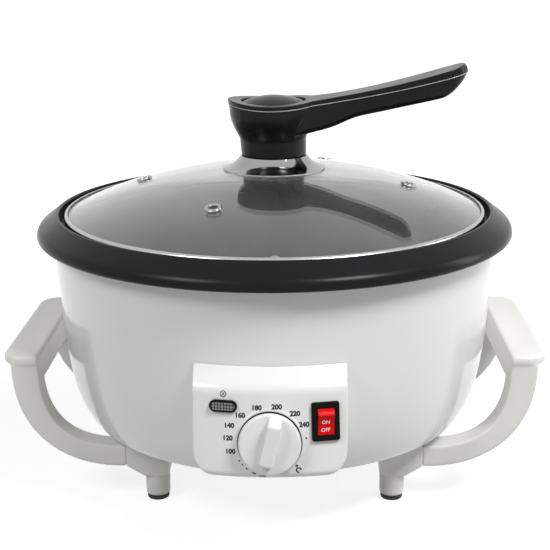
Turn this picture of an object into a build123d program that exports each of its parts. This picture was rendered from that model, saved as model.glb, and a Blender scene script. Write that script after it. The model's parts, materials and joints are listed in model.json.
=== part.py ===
from build123d import *
import os
from math import asin, atan2, cos, degrees, exp, radians, sin, sqrt, tan

# Countertop coffee bean roaster: a heated pan with a motor-driven stirrer, a lift-off glass
# lid with a long handle, two carrying handles that share their lower ends with the legs,
# and a control box with a temperature dial, a rocker switch and a lamp.
# Millimetres. The origin is on the table under the middle of the pan, +Z is up,
# the controls face -Y and the lid's handle points to +X.

# ---- Driving dimensions ----
# General clearances
SEAT_GAP = 0.3              # between curved pieces that lie on each other
RUNNING_GAP = 0.05          # radial, shaft in bearing
SCREW_GAP = 0.1             # radial, screw shank in its hole
PRESS_GAP = 0.02            # radial, between pieces pressed on each other
M3 = 1.5                    # radii of the clearance holes' screws
M4 = 2.0
TAPPING_SCREW = 1.2         # radius of the small screws cut into plastic
PILOT = 1.25                # radius of the hole that such a screw cuts into

# Lid
LID_RADIUS = 130.0          # outside of the steel ring
GLASS_DOME_RADIUS = 321.0
GLASS_THICKNESS = 4.0
GLASS_EDGE_SETBACK = 1.6    # from the ring's outside to the edge of the glass
LID_RING_DEPTH = 4.4
LID_RING_SHEET = 1.1
LID_RING_LIP = 2.3          # how far the ring turns in over the glass
GLASS_EDGE_HEIGHT = 5.4     # top edge of the glass over the ring's underside
EYELET_ANGLES = (-113.0, -7.4, 67.0, 172.6)
EYELET_CIRCLE = 83.0
EYELET_BORE = 2.6
EYELET_TUBE = 3.7
EYELET_FLANGE = 5.0
LID_HOLE_RADIUS = 4.0
FLANGE_FOOT_RADIUS = 31.7
FLANGE_RISE = 7.4
FLANGE_SHEET = 0.9
SEAL_THICKNESS = 0.8
LID_SCREW_RADIUS = 2.5
LID_WASHER_RADIUS = 13.0
LID_WASHER_THICKNESS = 1.2

# Lid handle
NECK_RADIUS = 20.0
NECK_HEIGHT = 10.5
CUP_RADIUS = 27.9
CUP_HEIGHT = 29.6           # neck's foot to the parting line
HANDLE_REACH = 117.6        # from the pan's axis to the tip
HANDLE_RISE = 20.4          # parting line, from the cup to the tip
HANDLE_WALL = 2.7
BEAM_HALF_WIDTH = 11.5
BEAM_TIP_HALF_WIDTH = 13.5
BEAM_EDGE = 4.0             # rounding along the beam's underside
BEAM_GUSSET = 3.0           # extra half-width where the beam leaves the cup
COVER_THICKNESS = 2.8
CAP_RADIUS = 19.6
CAP_RISE = 4.2

# Pan and its support
PAN_DEPTH = 70.0
PAN_WALL = 2.4
PAN_FLANGE_THICKNESS = 1.6
PAN_DRAFT = 4.0             # how much narrower the pan is at its floor
PAN_CORNER = 14.0
PAN_FLANGE_WIDTH = 8.0
TUBE_RADIUS = 11.0
TUBE_HEIGHT = 16.0          # centre tube over the pan's floor

# Rim
RIM_OUTER_RADIUS_STEP = 14.2    # from the rim's inner wall to its widest line
RIM_HEIGHT = 9.2                # crest over the pan ledge
RIM_WALL = 2.6
RIM_LEDGE = 2.0
RIM_GROOVE = 3.3                # between the lid's ring and the rim

# Body
SHELL_WALL = 2.6
BODY_DRAFT = 0.055          # radius lost per mm of height below the rim
BODY_TUCK = 12.2            # further inward curve at the bottom edge
BODY_TUCK_HEIGHT = 17.6
BASE_UNDERSIDE = 45.0
BASE_THICKNESS = 3.0
FLANGE_WIDTH = 10.0
FLANGE_THICKNESS = 2.2
BASE_SCREW_COUNT = 6
VENT_COUNT = 36
VENT_LENGTH = 20.0
VENT_WIDTH = 3.2
VENT_CIRCLE = 74.0

# Side handles and legs
HANDLE_HALF_SPAN = 62.0
STRAP_WIDTH = 15.4
HAND_GAP = 8.2              # body to the grip's inner wall
GRIP_WIDTH = 22.2
GRIP_TOP = 94.4
GRIP_THICKNESS = 6.2
GRIP_WALL = 2.6
GRIP_WALL_DROP = 18.4
GRIP_LIP = 5.9              # grip plate past the strap
GRIP_END_LIP = 0.8          # grip plate past the straps' front and rear faces
GRIP_CORNER = 13.0
STRAP_SEAM_LOW = 23.3
STRAP_SEAM_HIGH = 36.6
SEAM_INSET = 7.3            # strap seam inward of the base plate's edge
TONGUE_LENGTH = 11.0
TONGUE_WIDTH = 8.4
TONGUE_HEIGHT = 7.4
LEG_RADIUS = 8.0
LEG_INSET = 18.0            # leg axis inward of the strap seam
LEG_NECK = 16.8
FOOT_RADIUS = 6.7
FOOT_HEIGHT = 3.2
FOOT_STEM_RADIUS = 4.4
FOOT_STEM_HEIGHT = 5.5

# Control box
PANEL_HALF_WIDTH = 41.2
PANEL_BOTTOM = 57.5
PANEL_HEIGHT = 57.5
PANEL_SLOPE_HEIGHT = 8.6
PANEL_PROUD = 12.7
PANEL_LEAN = 7.6
PANEL_WALL = 2.4
PANEL_CORNER = 14.0
PANEL_SCREW_X = 26.0
WINDOW_HALF_WIDTH = 36.0    # opening in the body behind the control box
WINDOW_HIGH = 103.0
WINDOW_MARGIN = 0.8         # below the thermostat
DIAL_Z = 77.8
DIAL_RADIUS = 16.7
DIAL_SKIRT = 3.4
DIAL_BAR_WIDTH = 7.2
DIAL_BAR_HEIGHT = 11.0
DIAL_BAR_ANGLE = -13.0      # seen from the front, its lower end points at "off"
DIAL_BAR_LOWER = 11.6       # from the dial's centre to the bar's lower end
DIAL_RING_RADIUS = 17.5
DIAL_RING_THICKNESS = 1.0
DIAL_PAD = 0.35             # flat seat for the dial, proud of the curved face
SPINDLE_RADIUS = 3.0
SPINDLE_TOP = 9.6
THERMOSTAT_BUSH = 4.8
THERMOSTAT_BUSH_TOP = 3.3
THERMOSTAT_HALF_WIDTH = 16.0
THERMOSTAT_HALF_HEIGHT = 11.0
THERMOSTAT_DEPTH = 20.4
SPADE_LENGTH = 6.0          # of each push-on terminal
SPADE_HALF_WIDTH = 3.1
SPADE_SHEET = 0.8
SWITCH_X = 29.3
SWITCH_Z = 88.5
SWITCH_BEZEL = (15.0, 21.0, 1.6)
SWITCH_BODY = (12.8, 18.6, 17.0)
SWITCH_WELL = (9.1, 14.5, 9.0)
ROCKER_WIDTH = 8.7
ROCKER_SWEEP = 9.0          # pivot to the rocker's ends
ROCKER_PIVOT_DEPTH = 4.0
ROCKER_END = 5.6
ROCKER_TILT = 13.0
LAMP_X = -24.4
LAMP_Z = 96.9
LAMP_SIZE = (15.0, 6.5)
LAMP_RIM = 1.1

# Drive
MOTOR_RADIUS = 25.0
MOTOR_HEIGHT = 22.5
MOTOR_EAR_REACH = 30.0
MOTOR_SPIGOT = 9.0
MOTOR_LIFT = 2.0
OUTPUT_RADIUS = 3.5
OUTPUT_RISE = 11.5
SHAFT_RADIUS = 4.0
SHAFT_FLATS = 6.4
COUPLING_RADIUS = 7.5
COUPLING_LENGTH = 15.0
COUPLING_GAP = 1.6          # coupling to the pan's underside
BUSHING_RADIUS = 6.5
BRACKET_SHEET = 2.0
BRACKET_WIDTH = 26.0
BRACKET_HALF_SPAN = 40.0
HUB_RADIUS = 17.0
HUB_HEIGHT = 34.0
LUG_REACH = 30.0
LUG_THICKNESS = 5.0
BLADE_SHEET = 1.6
BLADE_HEIGHT = 20.0
SCRAPER_WIDTH = 7.2
BLADE_FLOOR_GAP = 1.2
BLADE_WALL_GAP = 6.0
BLADE_TIP_SWEEP = 24.0
NUT_ACROSS_FLATS = 10.0
NUT_HEIGHT = 9.0

# Heating
ELEMENT_CIRCLE = 72.0
ELEMENT_TUBE = 3.6
ELEMENT_TAIL = 12.0
ELEMENT_BEND = 8.0
ELEMENT_ARC = 320.0
CLIP_SHEET = 1.0
SHIELD_MARGIN = 16.9        # shield to the inside of the body
SHIELD_SHEET = 1.0
SHIELD_DROP = 13.6          # below the pan's underside
SHIELD_LIP = 6.0
SHIELD_HOLE_CIRCLE = 45.0
STANDOFF_INSET = 19.5       # from the base plate's edge
STANDOFF_COUNT = 3
CUTOUT_X = -42.0
CUTOUT_RADIUS = 8.4
CUTOUT_HEIGHT = 9.0

# Cord entry
CORD_BORE = 3.5
GROMMET_Z = 70.0
GROMMET_NECK = 6.0
GROMMET_FLANGE = 8.6
TERMINAL_BLOCK_INSET = 32.0     # from the base plate's edge
TERMINAL_BLOCK_ANGLE = 60.0

# ---- Heights that follow ----
base_top = BASE_UNDERSIDE + BASE_THICKNESS
motor_low = base_top + MOTOR_LIFT
motor_top = motor_low + MOTOR_HEIGHT
output_top = motor_top + OUTPUT_RISE
coupling_low = output_top - COUPLING_LENGTH / 2
pan_underside = coupling_low + COUPLING_LENGTH + COUPLING_GAP
pan_floor = pan_underside + PAN_WALL
pan_top = pan_floor + PAN_DEPTH
ledge_top = pan_top - PAN_FLANGE_THICKNESS - SEAT_GAP
slot_top = ledge_top - RIM_LEDGE
shell_top = slot_top - SEAT_GAP
lid_bottom = pan_top + SEAT_GAP
shield_z = pan_underside - SHIELD_DROP
element_z = pan_underside - SEAT_GAP - ELEMENT_TUBE
tube_top = pan_floor + TUBE_HEIGHT
shoulder_z = tube_top + 4.4
blade_low = pan_floor + BLADE_FLOOR_GAP
hub_top = blade_low + HUB_HEIGHT
tongue_low = STRAP_SEAM_LOW + 3.0

# ---- Radii that follow ----
ledge_radius = LID_RADIUS + RIM_GROOVE
slot_inner = ledge_radius + 0.8
body_top_radius = slot_inner + SHELL_WALL + SEAT_GAP
pan_mouth = LID_RADIUS - 5.2
pan_flange_radius = pan_mouth + PAN_FLANGE_WIDTH
ledge_inner = pan_mouth + PAN_WALL + 1.2
glass_edge_radius = LID_RADIUS - GLASS_EDGE_SETBACK


def body_radius(z, inset=0.0):
    """Outside radius of the body at a height: a straight draft with a tucked-in foot."""
    tuck = BODY_TUCK * exp((BASE_UNDERSIDE - z) / BODY_TUCK_HEIGHT)
    return body_top_radius - BODY_DRAFT * (shell_top - z) - tuck - inset


def glass_z(radius, below=0.0):
    """Height of the glass dome's top surface at a radius."""
    dome = GLASS_DOME_RADIUS
    edge_drop = dome - sqrt(dome**2 - glass_edge_radius**2)
    apex = lid_bottom + GLASS_EDGE_HEIGHT + edge_drop
    return apex - below - dome + sqrt(dome**2 - radius**2)


base_radius = body_radius(BASE_UNDERSIDE) - SHELL_WALL - SEAT_GAP
seam_x = sqrt(base_radius**2 - HANDLE_HALF_SPAN**2) - SEAM_INSET
leg_x = seam_x - LEG_INSET
leg_y = HANDLE_HALF_SPAN - STRAP_WIDTH / 2
grip_inner_x = body_radius(GRIP_TOP) + HAND_GAP
grip_outer_x = grip_inner_x + GRIP_WIDTH
neck_foot = glass_z(FLANGE_FOOT_RADIUS) + SEAL_THICKNESS + FLANGE_RISE + SEAT_GAP
cup_top = neck_foot + CUP_HEIGHT - 1.2
cap_low = cup_top + 2.4
crease_z = PANEL_BOTTOM + PANEL_HEIGHT - PANEL_SLOPE_HEIGHT
crease_radius = body_radius(crease_z) + PANEL_PROUD
shield_radius = body_radius(shield_z) - SHELL_WALL - SHIELD_MARGIN
standoff_circle = base_radius - STANDOFF_INSET
tongue_screw_x = seam_x - TONGUE_LENGTH / 2
bracket_foot_y = BRACKET_HALF_SPAN + 9.0
element_turn = 90 - (ELEMENT_ARC + 360) / 2
thermostat_drop = (
    THERMOSTAT_HALF_HEIGHT * cos(radians(PANEL_LEAN)) + THERMOSTAT_DEPTH * sin(radians(PANEL_LEAN))
)
window_low = DIAL_Z - thermostat_drop - WINDOW_MARGIN
panel_screw_heights = (window_low - 3.6, WINDOW_HIGH + 5)


# ---- Helpers ----
def outline(*corners):
    """Closed flat outline. A corner written (x, y, r) is rounded to the radius r."""
    points = [corner[:2] for corner in corners]
    radii = [corner[2] if len(corner) == 3 else 0.0 for corner in corners]
    return make_face(FilletPolyline(*points, radius=radii, close=True))


def turned(section, angle=360.0):
    """Solid of revolution about Z from a section drawn as (radius, height)."""
    return revolve(Plane.XZ * section, Axis.Z, angle)


def post(radius, low, high, x=0.0, y=0.0):
    """Upright round bar between two heights."""
    middle_foot = (Align.CENTER, Align.CENTER, Align.MIN)
    return Pos(x, y, low) * Cylinder(radius, high - low, align=middle_foot)


def block(x, y, z):
    """Box from its limits along each axis."""
    size = [limits[1] - limits[0] for limits in (x, y, z)]
    return Pos(x[0], y[0], z[0]) * Box(*size, align=(Align.MIN,) * 3)


def around(count, radius, first=0.0):
    """Places evenly spaced on a circle about Z, each with its X axis pointing outward."""
    return [Rot(0, 0, first + 360 * i / count) * Pos(radius, 0, 0) for i in range(count)]


def joined(pieces):
    """Separate solids kept side by side as one group."""
    return Compound(children=list(pieces))


def face_plane(x, z, inset=0.0):
    """Plane on the control face: local x to the right, local y up the face, z outward."""
    radius = face_radius(z) - inset
    turn = degrees(asin(x / radius))
    lean = radians(PANEL_LEAN)
    out = Vector(cos(lean) * sin(radians(turn)), -cos(lean) * cos(radians(turn)), sin(lean))
    return Plane(
        origin=(x, -radius * cos(radians(turn)), z),
        x_dir=(cos(radians(turn)), sin(radians(turn)), 0),
        z_dir=out,
    )


def face_radius(z):
    """Radius of the leaning control face at a height."""
    return crease_radius + (crease_z - z) * tan(radians(PANEL_LEAN))


def screw(shank, length, head, head_height):
    """Pan-head screw with a cross recess: head up from z=0, shank down."""
    body = post(shank, -length, 0) + post(head, 0, head_height)
    body = chamfer(body.edges().group_by(Axis.Z)[0], shank * 0.4)
    body = fillet(body.edges().group_by(Axis.Z)[-1], head_height * 0.4)
    recess = Box(head, head * 0.25, head_height) + Box(head * 0.25, head, head_height)
    return body - Pos(0, 0, head_height) * recess


# ---- Body ----
def body_envelope(inset=0.0):
    """Section edge of the body from foot to top, drawn as (radius, height)."""
    low, high = BASE_UNDERSIDE, shell_top
    heights = [low + (high - low) * t for t in (0.0, 0.07, 0.16, 0.3, 0.5, 0.75, 1.0)]
    return Spline(*[(body_radius(z, inset), z) for z in heights])


def body_filled(grow=0.0):
    """The body's outside as a filled form, larger all round by grow."""
    edge = body_envelope(-grow)
    low, high = edge @ 0, edge @ 1
    rest = Polyline(high, (0, high.Y), (0, low.Y), low)
    return turned(make_face(edge + rest))


def body_shell():
    outer = body_envelope()
    inner = body_envelope(SHELL_WALL)
    shell = turned(make_face(outer + Line(outer @ 1, inner @ 1) + inner + Line(inner @ 0, outer @ 0)))
    flange_low = base_top + SEAT_GAP
    flange_high = flange_low + FLANGE_THICKNESS
    edge_low = body_radius(flange_low) - SHELL_WALL / 2
    edge_high = body_radius(flange_high) - SHELL_WALL / 2
    inner_edge = base_radius - FLANGE_WIDTH
    flange = outline(
        (inner_edge, flange_low),
        (edge_low, flange_low),
        (edge_high, flange_high),
        (inner_edge, flange_high),
    )
    shell += turned(flange)
    for place in base_screw_places():
        shell += place * post(4.2, flange_low, flange_high + 8)
    for place in base_screw_places():
        shell -= place * post(M3 + SCREW_GAP, flange_low - 1, flange_high + 6)
    window = outline(
        (-WINDOW_HALF_WIDTH, window_low, 4.0),
        (WINDOW_HALF_WIDTH, window_low, 4.0),
        (WINDOW_HALF_WIDTH, WINDOW_HIGH, 4.0),
        (-WINDOW_HALF_WIDTH, WINDOW_HIGH, 4.0),
    )
    shell -= extrude(Plane.XZ * window, body_top_radius + 20) - extrude(Plane.XZ * window, 80)
    for plane in panel_screw_planes():
        shell -= plane * Cylinder(M3 + SCREW_GAP, 12)
    shell -= grommet_plane() * Cylinder(GROMMET_NECK + SCREW_GAP, 14)
    return shell


def base_screw_places():
    return around(BASE_SCREW_COUNT, base_radius - FLANGE_WIDTH / 2, 30)


def rim_ring():
    crest = ledge_top + RIM_HEIGHT
    widest = ledge_radius + RIM_OUTER_RADIUS_STEP
    low = slot_top - 3.3
    rib = slot_inner + SHELL_WALL + 2 * SEAT_GAP
    section = outline(
        (ledge_radius, ledge_top),
        (ledge_radius, crest, 1.0),
        (ledge_radius + 1.8, crest, 1.6),
        (widest - 1.0, crest - 8.6, 6.0),
        (widest, low, 2.2),
        (widest - RIM_WALL - 0.4, low, 0.8),
        (widest - RIM_WALL - 1.4, low + 4.6),
        (rib + 2.2, crest - 3.4 - RIM_WALL),
        (rib + 2.2, low),
        (rib, low),
        (rib, slot_top),
        (slot_inner, slot_top),
        (slot_inner - 0.8, slot_top - 6),
        (slot_inner - 2.4, slot_top - 6),
        (slot_inner - 2.4, ledge_top - 2.4),
        (ledge_inner, ledge_top - 2.4),
        (ledge_inner, ledge_top),
    )
    return turned(section)


def base_plate():
    """Bottom cover: louvred by radial slots, with the holes for every screw that enters it."""
    plate = post(base_radius, BASE_UNDERSIDE, base_top)
    plate = chamfer(plate.edges().group_by(Axis.Z)[0], 0.8)
    slot = extrude(SlotOverall(VENT_LENGTH, VENT_WIDTH), BASE_THICKNESS * 2, both=True)
    for place in around(VENT_COUNT, VENT_CIRCLE):
        middle = place.position
        leg_gap = min(max(abs(middle.X - x), abs(middle.Y - y)) for x, y in leg_places())
        if leg_gap > VENT_LENGTH / 2 + LEG_INSET - 4:
            plate -= place * Pos(0, 0, base_top) * slot
    for place in base_screw_places():
        plate -= place * post(M3 + SCREW_GAP, BASE_UNDERSIDE - 1, base_top + 1)
        plate -= place * post(3.2, BASE_UNDERSIDE - 1, BASE_UNDERSIDE + 1.2)
    for x, y in leg_places():
        plate -= post(M4 + SCREW_GAP, BASE_UNDERSIDE - 1, base_top + 1, x, y)
    for y in (-bracket_foot_y, bracket_foot_y):
        plate -= post(M4 + SCREW_GAP, BASE_UNDERSIDE - 1, base_top + 1, 0, y)
    return plate


def base_screws():
    under = Rot(180, 0, 0) * screw(M3, 9, 2.9, 1.1)
    return joined(place * Pos(0, 0, BASE_UNDERSIDE + 1.1) * under for place in base_screw_places())


# ---- Handles and legs ----
def leg_places():
    return [(sx * leg_x, sy * leg_y) for sy in (-1, 1) for sx in (-1, 1)]


def bow(x_end, z_end, x_top, z_top, squareness, steps=7):
    """Quarter of a superellipse from the seam (level) up to the grip (upright)."""
    points = []
    for i in range(steps + 1):
        turn = radians(90 * i / steps)
        across = sin(turn) ** (2 / squareness)
        down = cos(turn) ** (2 / squareness)
        points.append((x_end + (x_top - x_end) * across, z_top - (z_top - z_end) * down))
    return Spline(*points)


def side_handle():
    """Right handle: flat grip with a rolled lip, a hanging inner wall and two bowed straps."""
    grip_low = GRIP_TOP - GRIP_THICKNESS
    outer = bow(seam_x, STRAP_SEAM_LOW, grip_outer_x - GRIP_LIP, grip_low + 0.5, 2.3)
    inner = bow(seam_x, STRAP_SEAM_HIGH, grip_inner_x, grip_low + 0.5, 2.7)
    side = make_face(outer + Line(outer @ 1, inner @ 1) + inner + Line(inner @ 0, outer @ 0))
    strap = extrude(Plane.XZ * side, -STRAP_WIDTH)
    tongue = block(
        (seam_x - TONGUE_LENGTH, seam_x + 1),
        (STRAP_WIDTH / 2 - TONGUE_WIDTH / 2, STRAP_WIDTH / 2 + TONGUE_WIDTH / 2),
        (tongue_low, tongue_low + TONGUE_HEIGHT),
    )
    tongue -= post(PILOT, 0, tongue_low + TONGUE_HEIGHT - 1, tongue_screw_x, STRAP_WIDTH / 2)
    end = HANDLE_HALF_SPAN + GRIP_END_LIP
    plate = outline(
        (grip_inner_x, -end, 1.5),
        (grip_outer_x, -end, GRIP_CORNER),
        (grip_outer_x, end, GRIP_CORNER),
        (grip_inner_x, end, 1.5),
    )
    grip = Pos(0, 0, grip_low) * extrude(plate, GRIP_THICKNESS)
    grip = fillet(grip.edges().group_by(Axis.Z)[-1], 2.4)
    grip = fillet(grip.edges().group_by(Axis.Z)[0], 1.6)
    clear_y = HANDLE_HALF_SPAN - STRAP_WIDTH
    grip -= block(
        (grip_inner_x + GRIP_WALL, grip_outer_x - GRIP_WALL - 1),
        (-clear_y, clear_y),
        (grip_low - 1, GRIP_TOP - GRIP_WALL),
    )
    wall = block(
        (grip_inner_x, grip_inner_x + GRIP_WALL),
        (-HANDLE_HALF_SPAN, HANDLE_HALF_SPAN),
        (GRIP_TOP - GRIP_WALL_DROP, GRIP_TOP - 3),
    )
    handle = grip + wall
    for y in (-HANDLE_HALF_SPAN, clear_y):
        handle += Pos(0, y, 0) * (strap + tongue)
    return handle


def leg():
    """Right rear leg: a block that takes the strap's tongue, over a round foot post."""
    side = outline(
        (-LEG_RADIUS, LEG_NECK, 2.0),
        (LEG_RADIUS - 0.7, LEG_NECK),
        (LEG_INSET, STRAP_SEAM_LOW),
        (LEG_INSET, BASE_UNDERSIDE),
        (-LEG_RADIUS, BASE_UNDERSIDE),
    )
    body = Pos(0, STRAP_WIDTH / 2, 0) * extrude(Plane.XZ * side, STRAP_WIDTH)
    stem = turned(
        outline(
            (0, FOOT_HEIGHT),
            (LEG_RADIUS - 0.6, FOOT_HEIGHT, 0.8),
            (LEG_RADIUS - 0.3, LEG_NECK + 4),
            (0, LEG_NECK + 4),
        )
    )
    body += stem
    gap = SCREW_GAP
    pocket_x = LEG_INSET - TONGUE_LENGTH
    half = TONGUE_WIDTH / 2 + gap
    pocket = (tongue_low - gap, tongue_low + TONGUE_HEIGHT + gap)
    body -= block((pocket_x - gap, LEG_INSET + 1), (-half, half), pocket)
    x = tongue_screw_x - leg_x
    body -= post(M3 + gap, LEG_NECK, tongue_low + 1, x)
    body -= post(3.2, LEG_NECK, tongue_low - 2.0, x)
    body -= post(FOOT_STEM_RADIUS + gap, FOOT_HEIGHT - 1, FOOT_HEIGHT + FOOT_STEM_HEIGHT + gap)
    body -= post(PILOT, FOOT_HEIGHT, FOOT_HEIGHT + 16)
    body -= post(1.7, BASE_UNDERSIDE - 13, BASE_UNDERSIDE + 1)
    return body


def rubber_foot():
    foot = post(FOOT_RADIUS, 0, FOOT_HEIGHT) + post(FOOT_STEM_RADIUS, 0, FOOT_HEIGHT + FOOT_STEM_HEIGHT)
    foot = fillet(foot.edges().group_by(Axis.Z)[0], 0.9)
    foot -= post(3.0, -1, 2.6)
    return foot - post(M3 + SCREW_GAP, 0, FOOT_HEIGHT + FOOT_STEM_HEIGHT + 1)


def foot_screws():
    up = Pos(0, 0, 2.6) * Rot(180, 0, 0) * screw(TAPPING_SCREW, 12, 2.7, 1.6)
    return joined(Pos(x, y, 0) * up for x, y in leg_places())


def leg_screws():
    down = Pos(0, 0, base_top) * screw(1.65, 12, 3.4, 2.2)
    return joined(Pos(x, y, 0) * down for x, y in leg_places())


def handle_screws():
    up = Pos(0, 0, tongue_low - 2.0) * Rot(180, 0, 0) * screw(TAPPING_SCREW, 7, 2.9, 2.0)
    return joined(Pos(sx * tongue_screw_x, y, 0) * up for sx in (-1, 1) for y in (-leg_y, leg_y))


# ---- Control box ----
def panel_outline(inset=0.0):
    """Front view of the control box."""
    half = PANEL_HALF_WIDTH - inset
    low = PANEL_BOTTOM + inset
    high = PANEL_BOTTOM + PANEL_HEIGHT + (1 if inset else 0)
    return outline(
        (-half, low, PANEL_CORNER - inset),
        (half, low, PANEL_CORNER - inset),
        (half, high),
        (-half, high),
    )


def panel_section(inset=0.0):
    """Side view of the control box, drawn as (radius, height)."""
    low = PANEL_BOTTOM + inset
    high = PANEL_BOTTOM + PANEL_HEIGHT
    back = body_radius(PANEL_BOTTOM) - 12
    return outline(
        (back, low),
        (face_radius(low) - inset, low, 4.0),
        (crease_radius - inset, crease_z - inset * 0.4, 9.0 - inset),
        (body_radius(high) + 0.6 - inset * 1.6, high),
        (back, high),
    )


def panel_form(inset=0.0):
    front = extrude(Plane.XZ * panel_outline(inset), crease_radius + 30)
    return turned(panel_section(inset)) & front


def panel_screw_planes():
    """Planes on the body behind the control box, facing out, where its screws pass."""
    planes = []
    for z in panel_screw_heights:
        for x in (-PANEL_SCREW_X, PANEL_SCREW_X):
            turn = asin(x / body_radius(z))
            out = Vector(sin(turn), -cos(turn), 0)
            origin = out * body_radius(z) + Vector(0, 0, z)
            planes.append(Plane(origin=origin, x_dir=(0, 0, 1), z_dir=out))
    return planes


def panel_housing():
    filled = panel_form()
    housing = filled - panel_form(PANEL_WALL)
    for plane in panel_screw_planes():
        housing += (plane * Pos(0, 0, 15) * Cylinder(3.2, 30)) & filled
    dial = face_plane(0, DIAL_Z)
    housing += dial * post(DIAL_RING_RADIUS + 0.5, -PANEL_WALL, DIAL_PAD)
    housing -= body_filled(SEAT_GAP)
    for plane in panel_screw_planes():
        housing -= plane * Cylinder(PILOT, 13)
    housing -= dial * Cylinder(THERMOSTAT_BUSH + SCREW_GAP, 12)
    switch = face_plane(SWITCH_X, SWITCH_Z)
    housing -= switch * Box(SWITCH_BODY[0] + 0.2, SWITCH_BODY[1] + 0.2, 12)
    lamp = face_plane(LAMP_X, LAMP_Z)
    return housing - lamp * extrude(SlotOverall(LAMP_SIZE[0] - 1.2, LAMP_SIZE[1] - 1.2), 6, both=True)


def panel_screws():
    pieces = []
    for plane in panel_screw_planes():
        rise = SHELL_WALL + SEAT_GAP + body_slope(plane.origin.Z) * 2.8
        turned_screw = Rot(180, 0, 0) * screw(TAPPING_SCREW, 5.5 + rise, 2.7, 1.9)
        pieces.append(plane * Pos(0, 0, -rise) * turned_screw)
    return joined(pieces)


def body_slope(z):
    """How fast the body widens with height."""
    return BODY_DRAFT + BODY_TUCK / BODY_TUCK_HEIGHT * exp((BASE_UNDERSIDE - z) / BODY_TUCK_HEIGHT)


def dial_ring():
    ring = post(DIAL_RING_RADIUS, DIAL_PAD, DIAL_PAD + DIAL_RING_THICKNESS)
    return face_plane(0, DIAL_Z) * (ring - post(THERMOSTAT_BUSH + 0.4, 0, 3))


def dial_knob():
    """Skirted dial with a raised grip bar whose upper end slopes down to the skirt."""
    low = DIAL_PAD + DIAL_RING_THICKNESS + 0.4
    skirt = turned(
        outline(
            (0, low),
            (DIAL_RADIUS, low, 0.3),
            (DIAL_RADIUS - 0.3, low + DIAL_SKIRT, 1.2),
            (0, low + DIAL_SKIRT + 0.8),
        )
    )
    top = low + DIAL_BAR_HEIGHT
    side = outline(
        (-DIAL_BAR_LOWER, low + 1),
        (-DIAL_BAR_LOWER + 0.7, top - 2.0, 1.6),
        (DIAL_RADIUS * 0.74, top, 2.4),
        (DIAL_RADIUS - 0.9, low + DIAL_SKIRT - 0.6),
        (DIAL_RADIUS - 0.9, low + 1),
    )
    bar = extrude(Plane.YZ * side, DIAL_BAR_WIDTH / 2, both=True)
    rails = bar.edges().filter_by(Plane.YZ)
    bar = fillet(rails.filter_by(lambda e: e.center().Z > low + DIAL_SKIRT), 0.9)
    bar &= post(DIAL_RADIUS - 0.35, low, top + 1)
    knob = skirt + bar
    knob -= post(DIAL_RADIUS - 2.2, low - 1, low + 2.2)
    knob -= d_bar(SPINDLE_RADIUS + PRESS_GAP, low, SPINDLE_TOP + 0.1)
    return face_plane(0, DIAL_Z) * Rot(0, 0, DIAL_BAR_ANGLE) * knob


def d_bar(radius, low, high):
    """Upright round bar with one flat."""
    beyond = (-radius - 1, radius + 1)
    return post(radius, low, high) - block(beyond, (radius * 0.5, radius + 1), (low - 1, high + 1))


def thermostat():
    back = -THERMOSTAT_DEPTH
    body = block(
        (-THERMOSTAT_HALF_WIDTH, THERMOSTAT_HALF_WIDTH),
        (-THERMOSTAT_HALF_HEIGHT, THERMOSTAT_HALF_HEIGHT),
        (back, -PANEL_WALL - 3.0),
    )
    body = fillet(body.edges().filter_by(Axis.Z), 3)
    body += post(THERMOSTAT_BUSH, -PANEL_WALL - 3.5, THERMOSTAT_BUSH_TOP)
    for x in (-9, 9):
        body += spade(x, back)
    body -= post(SPINDLE_RADIUS + RUNNING_GAP, back + 3, 20)
    return face_plane(0, DIAL_Z) * body


def spade(x, back):
    """Push-on terminal that stands out behind a fitting's back face."""
    half = SPADE_SHEET / 2
    across = (-SPADE_HALF_WIDTH, SPADE_HALF_WIDTH)
    return block((x - half, x + half), across, (back - SPADE_LENGTH, back + 0.5))


def thermostat_spindle():
    spindle = post(SPINDLE_RADIUS, -THERMOSTAT_DEPTH + 3.5, THERMOSTAT_BUSH_TOP + 0.2)
    spindle += d_bar(SPINDLE_RADIUS, THERMOSTAT_BUSH_TOP, SPINDLE_TOP)
    return face_plane(0, DIAL_Z) * Rot(0, 0, DIAL_BAR_ANGLE) * spindle


def thermostat_nut():
    low = DIAL_PAD + DIAL_RING_THICKNESS
    nut = Pos(0, 0, low) * extrude(RegularPolygon(6.8, 6), 1.7)
    return face_plane(0, DIAL_Z) * (nut - post(THERMOSTAT_BUSH + PRESS_GAP, 0, 10))


def switch_housing():
    bezel = extrude(RectangleRounded(SWITCH_BEZEL[0], SWITCH_BEZEL[1], 1.2), SWITCH_BEZEL[2])
    bezel = Pos(0, 0, 0.1) * fillet(bezel.edges().group_by(Axis.Z)[-1], 0.6)
    body = Pos(0, 0, 0.1 - SWITCH_BODY[2] / 2) * Box(*SWITCH_BODY)
    well_half = ROCKER_SWEEP + 0.15
    well = Pos(0, 0, -ROCKER_PIVOT_DEPTH) * Rot(0, 90, 0) * Cylinder(well_half, SWITCH_WELL[0])
    hole = Pos(0, 0, -ROCKER_PIVOT_DEPTH) * Rot(0, 90, 0) * Cylinder(1.25, SWITCH_WELL[0] + 1.8)
    housing = bezel + body - well - hole
    for x in (-3.2, 3.2):
        housing += spade(x, -SWITCH_BODY[2])
    return face_plane(SWITCH_X, SWITCH_Z) * housing


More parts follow.
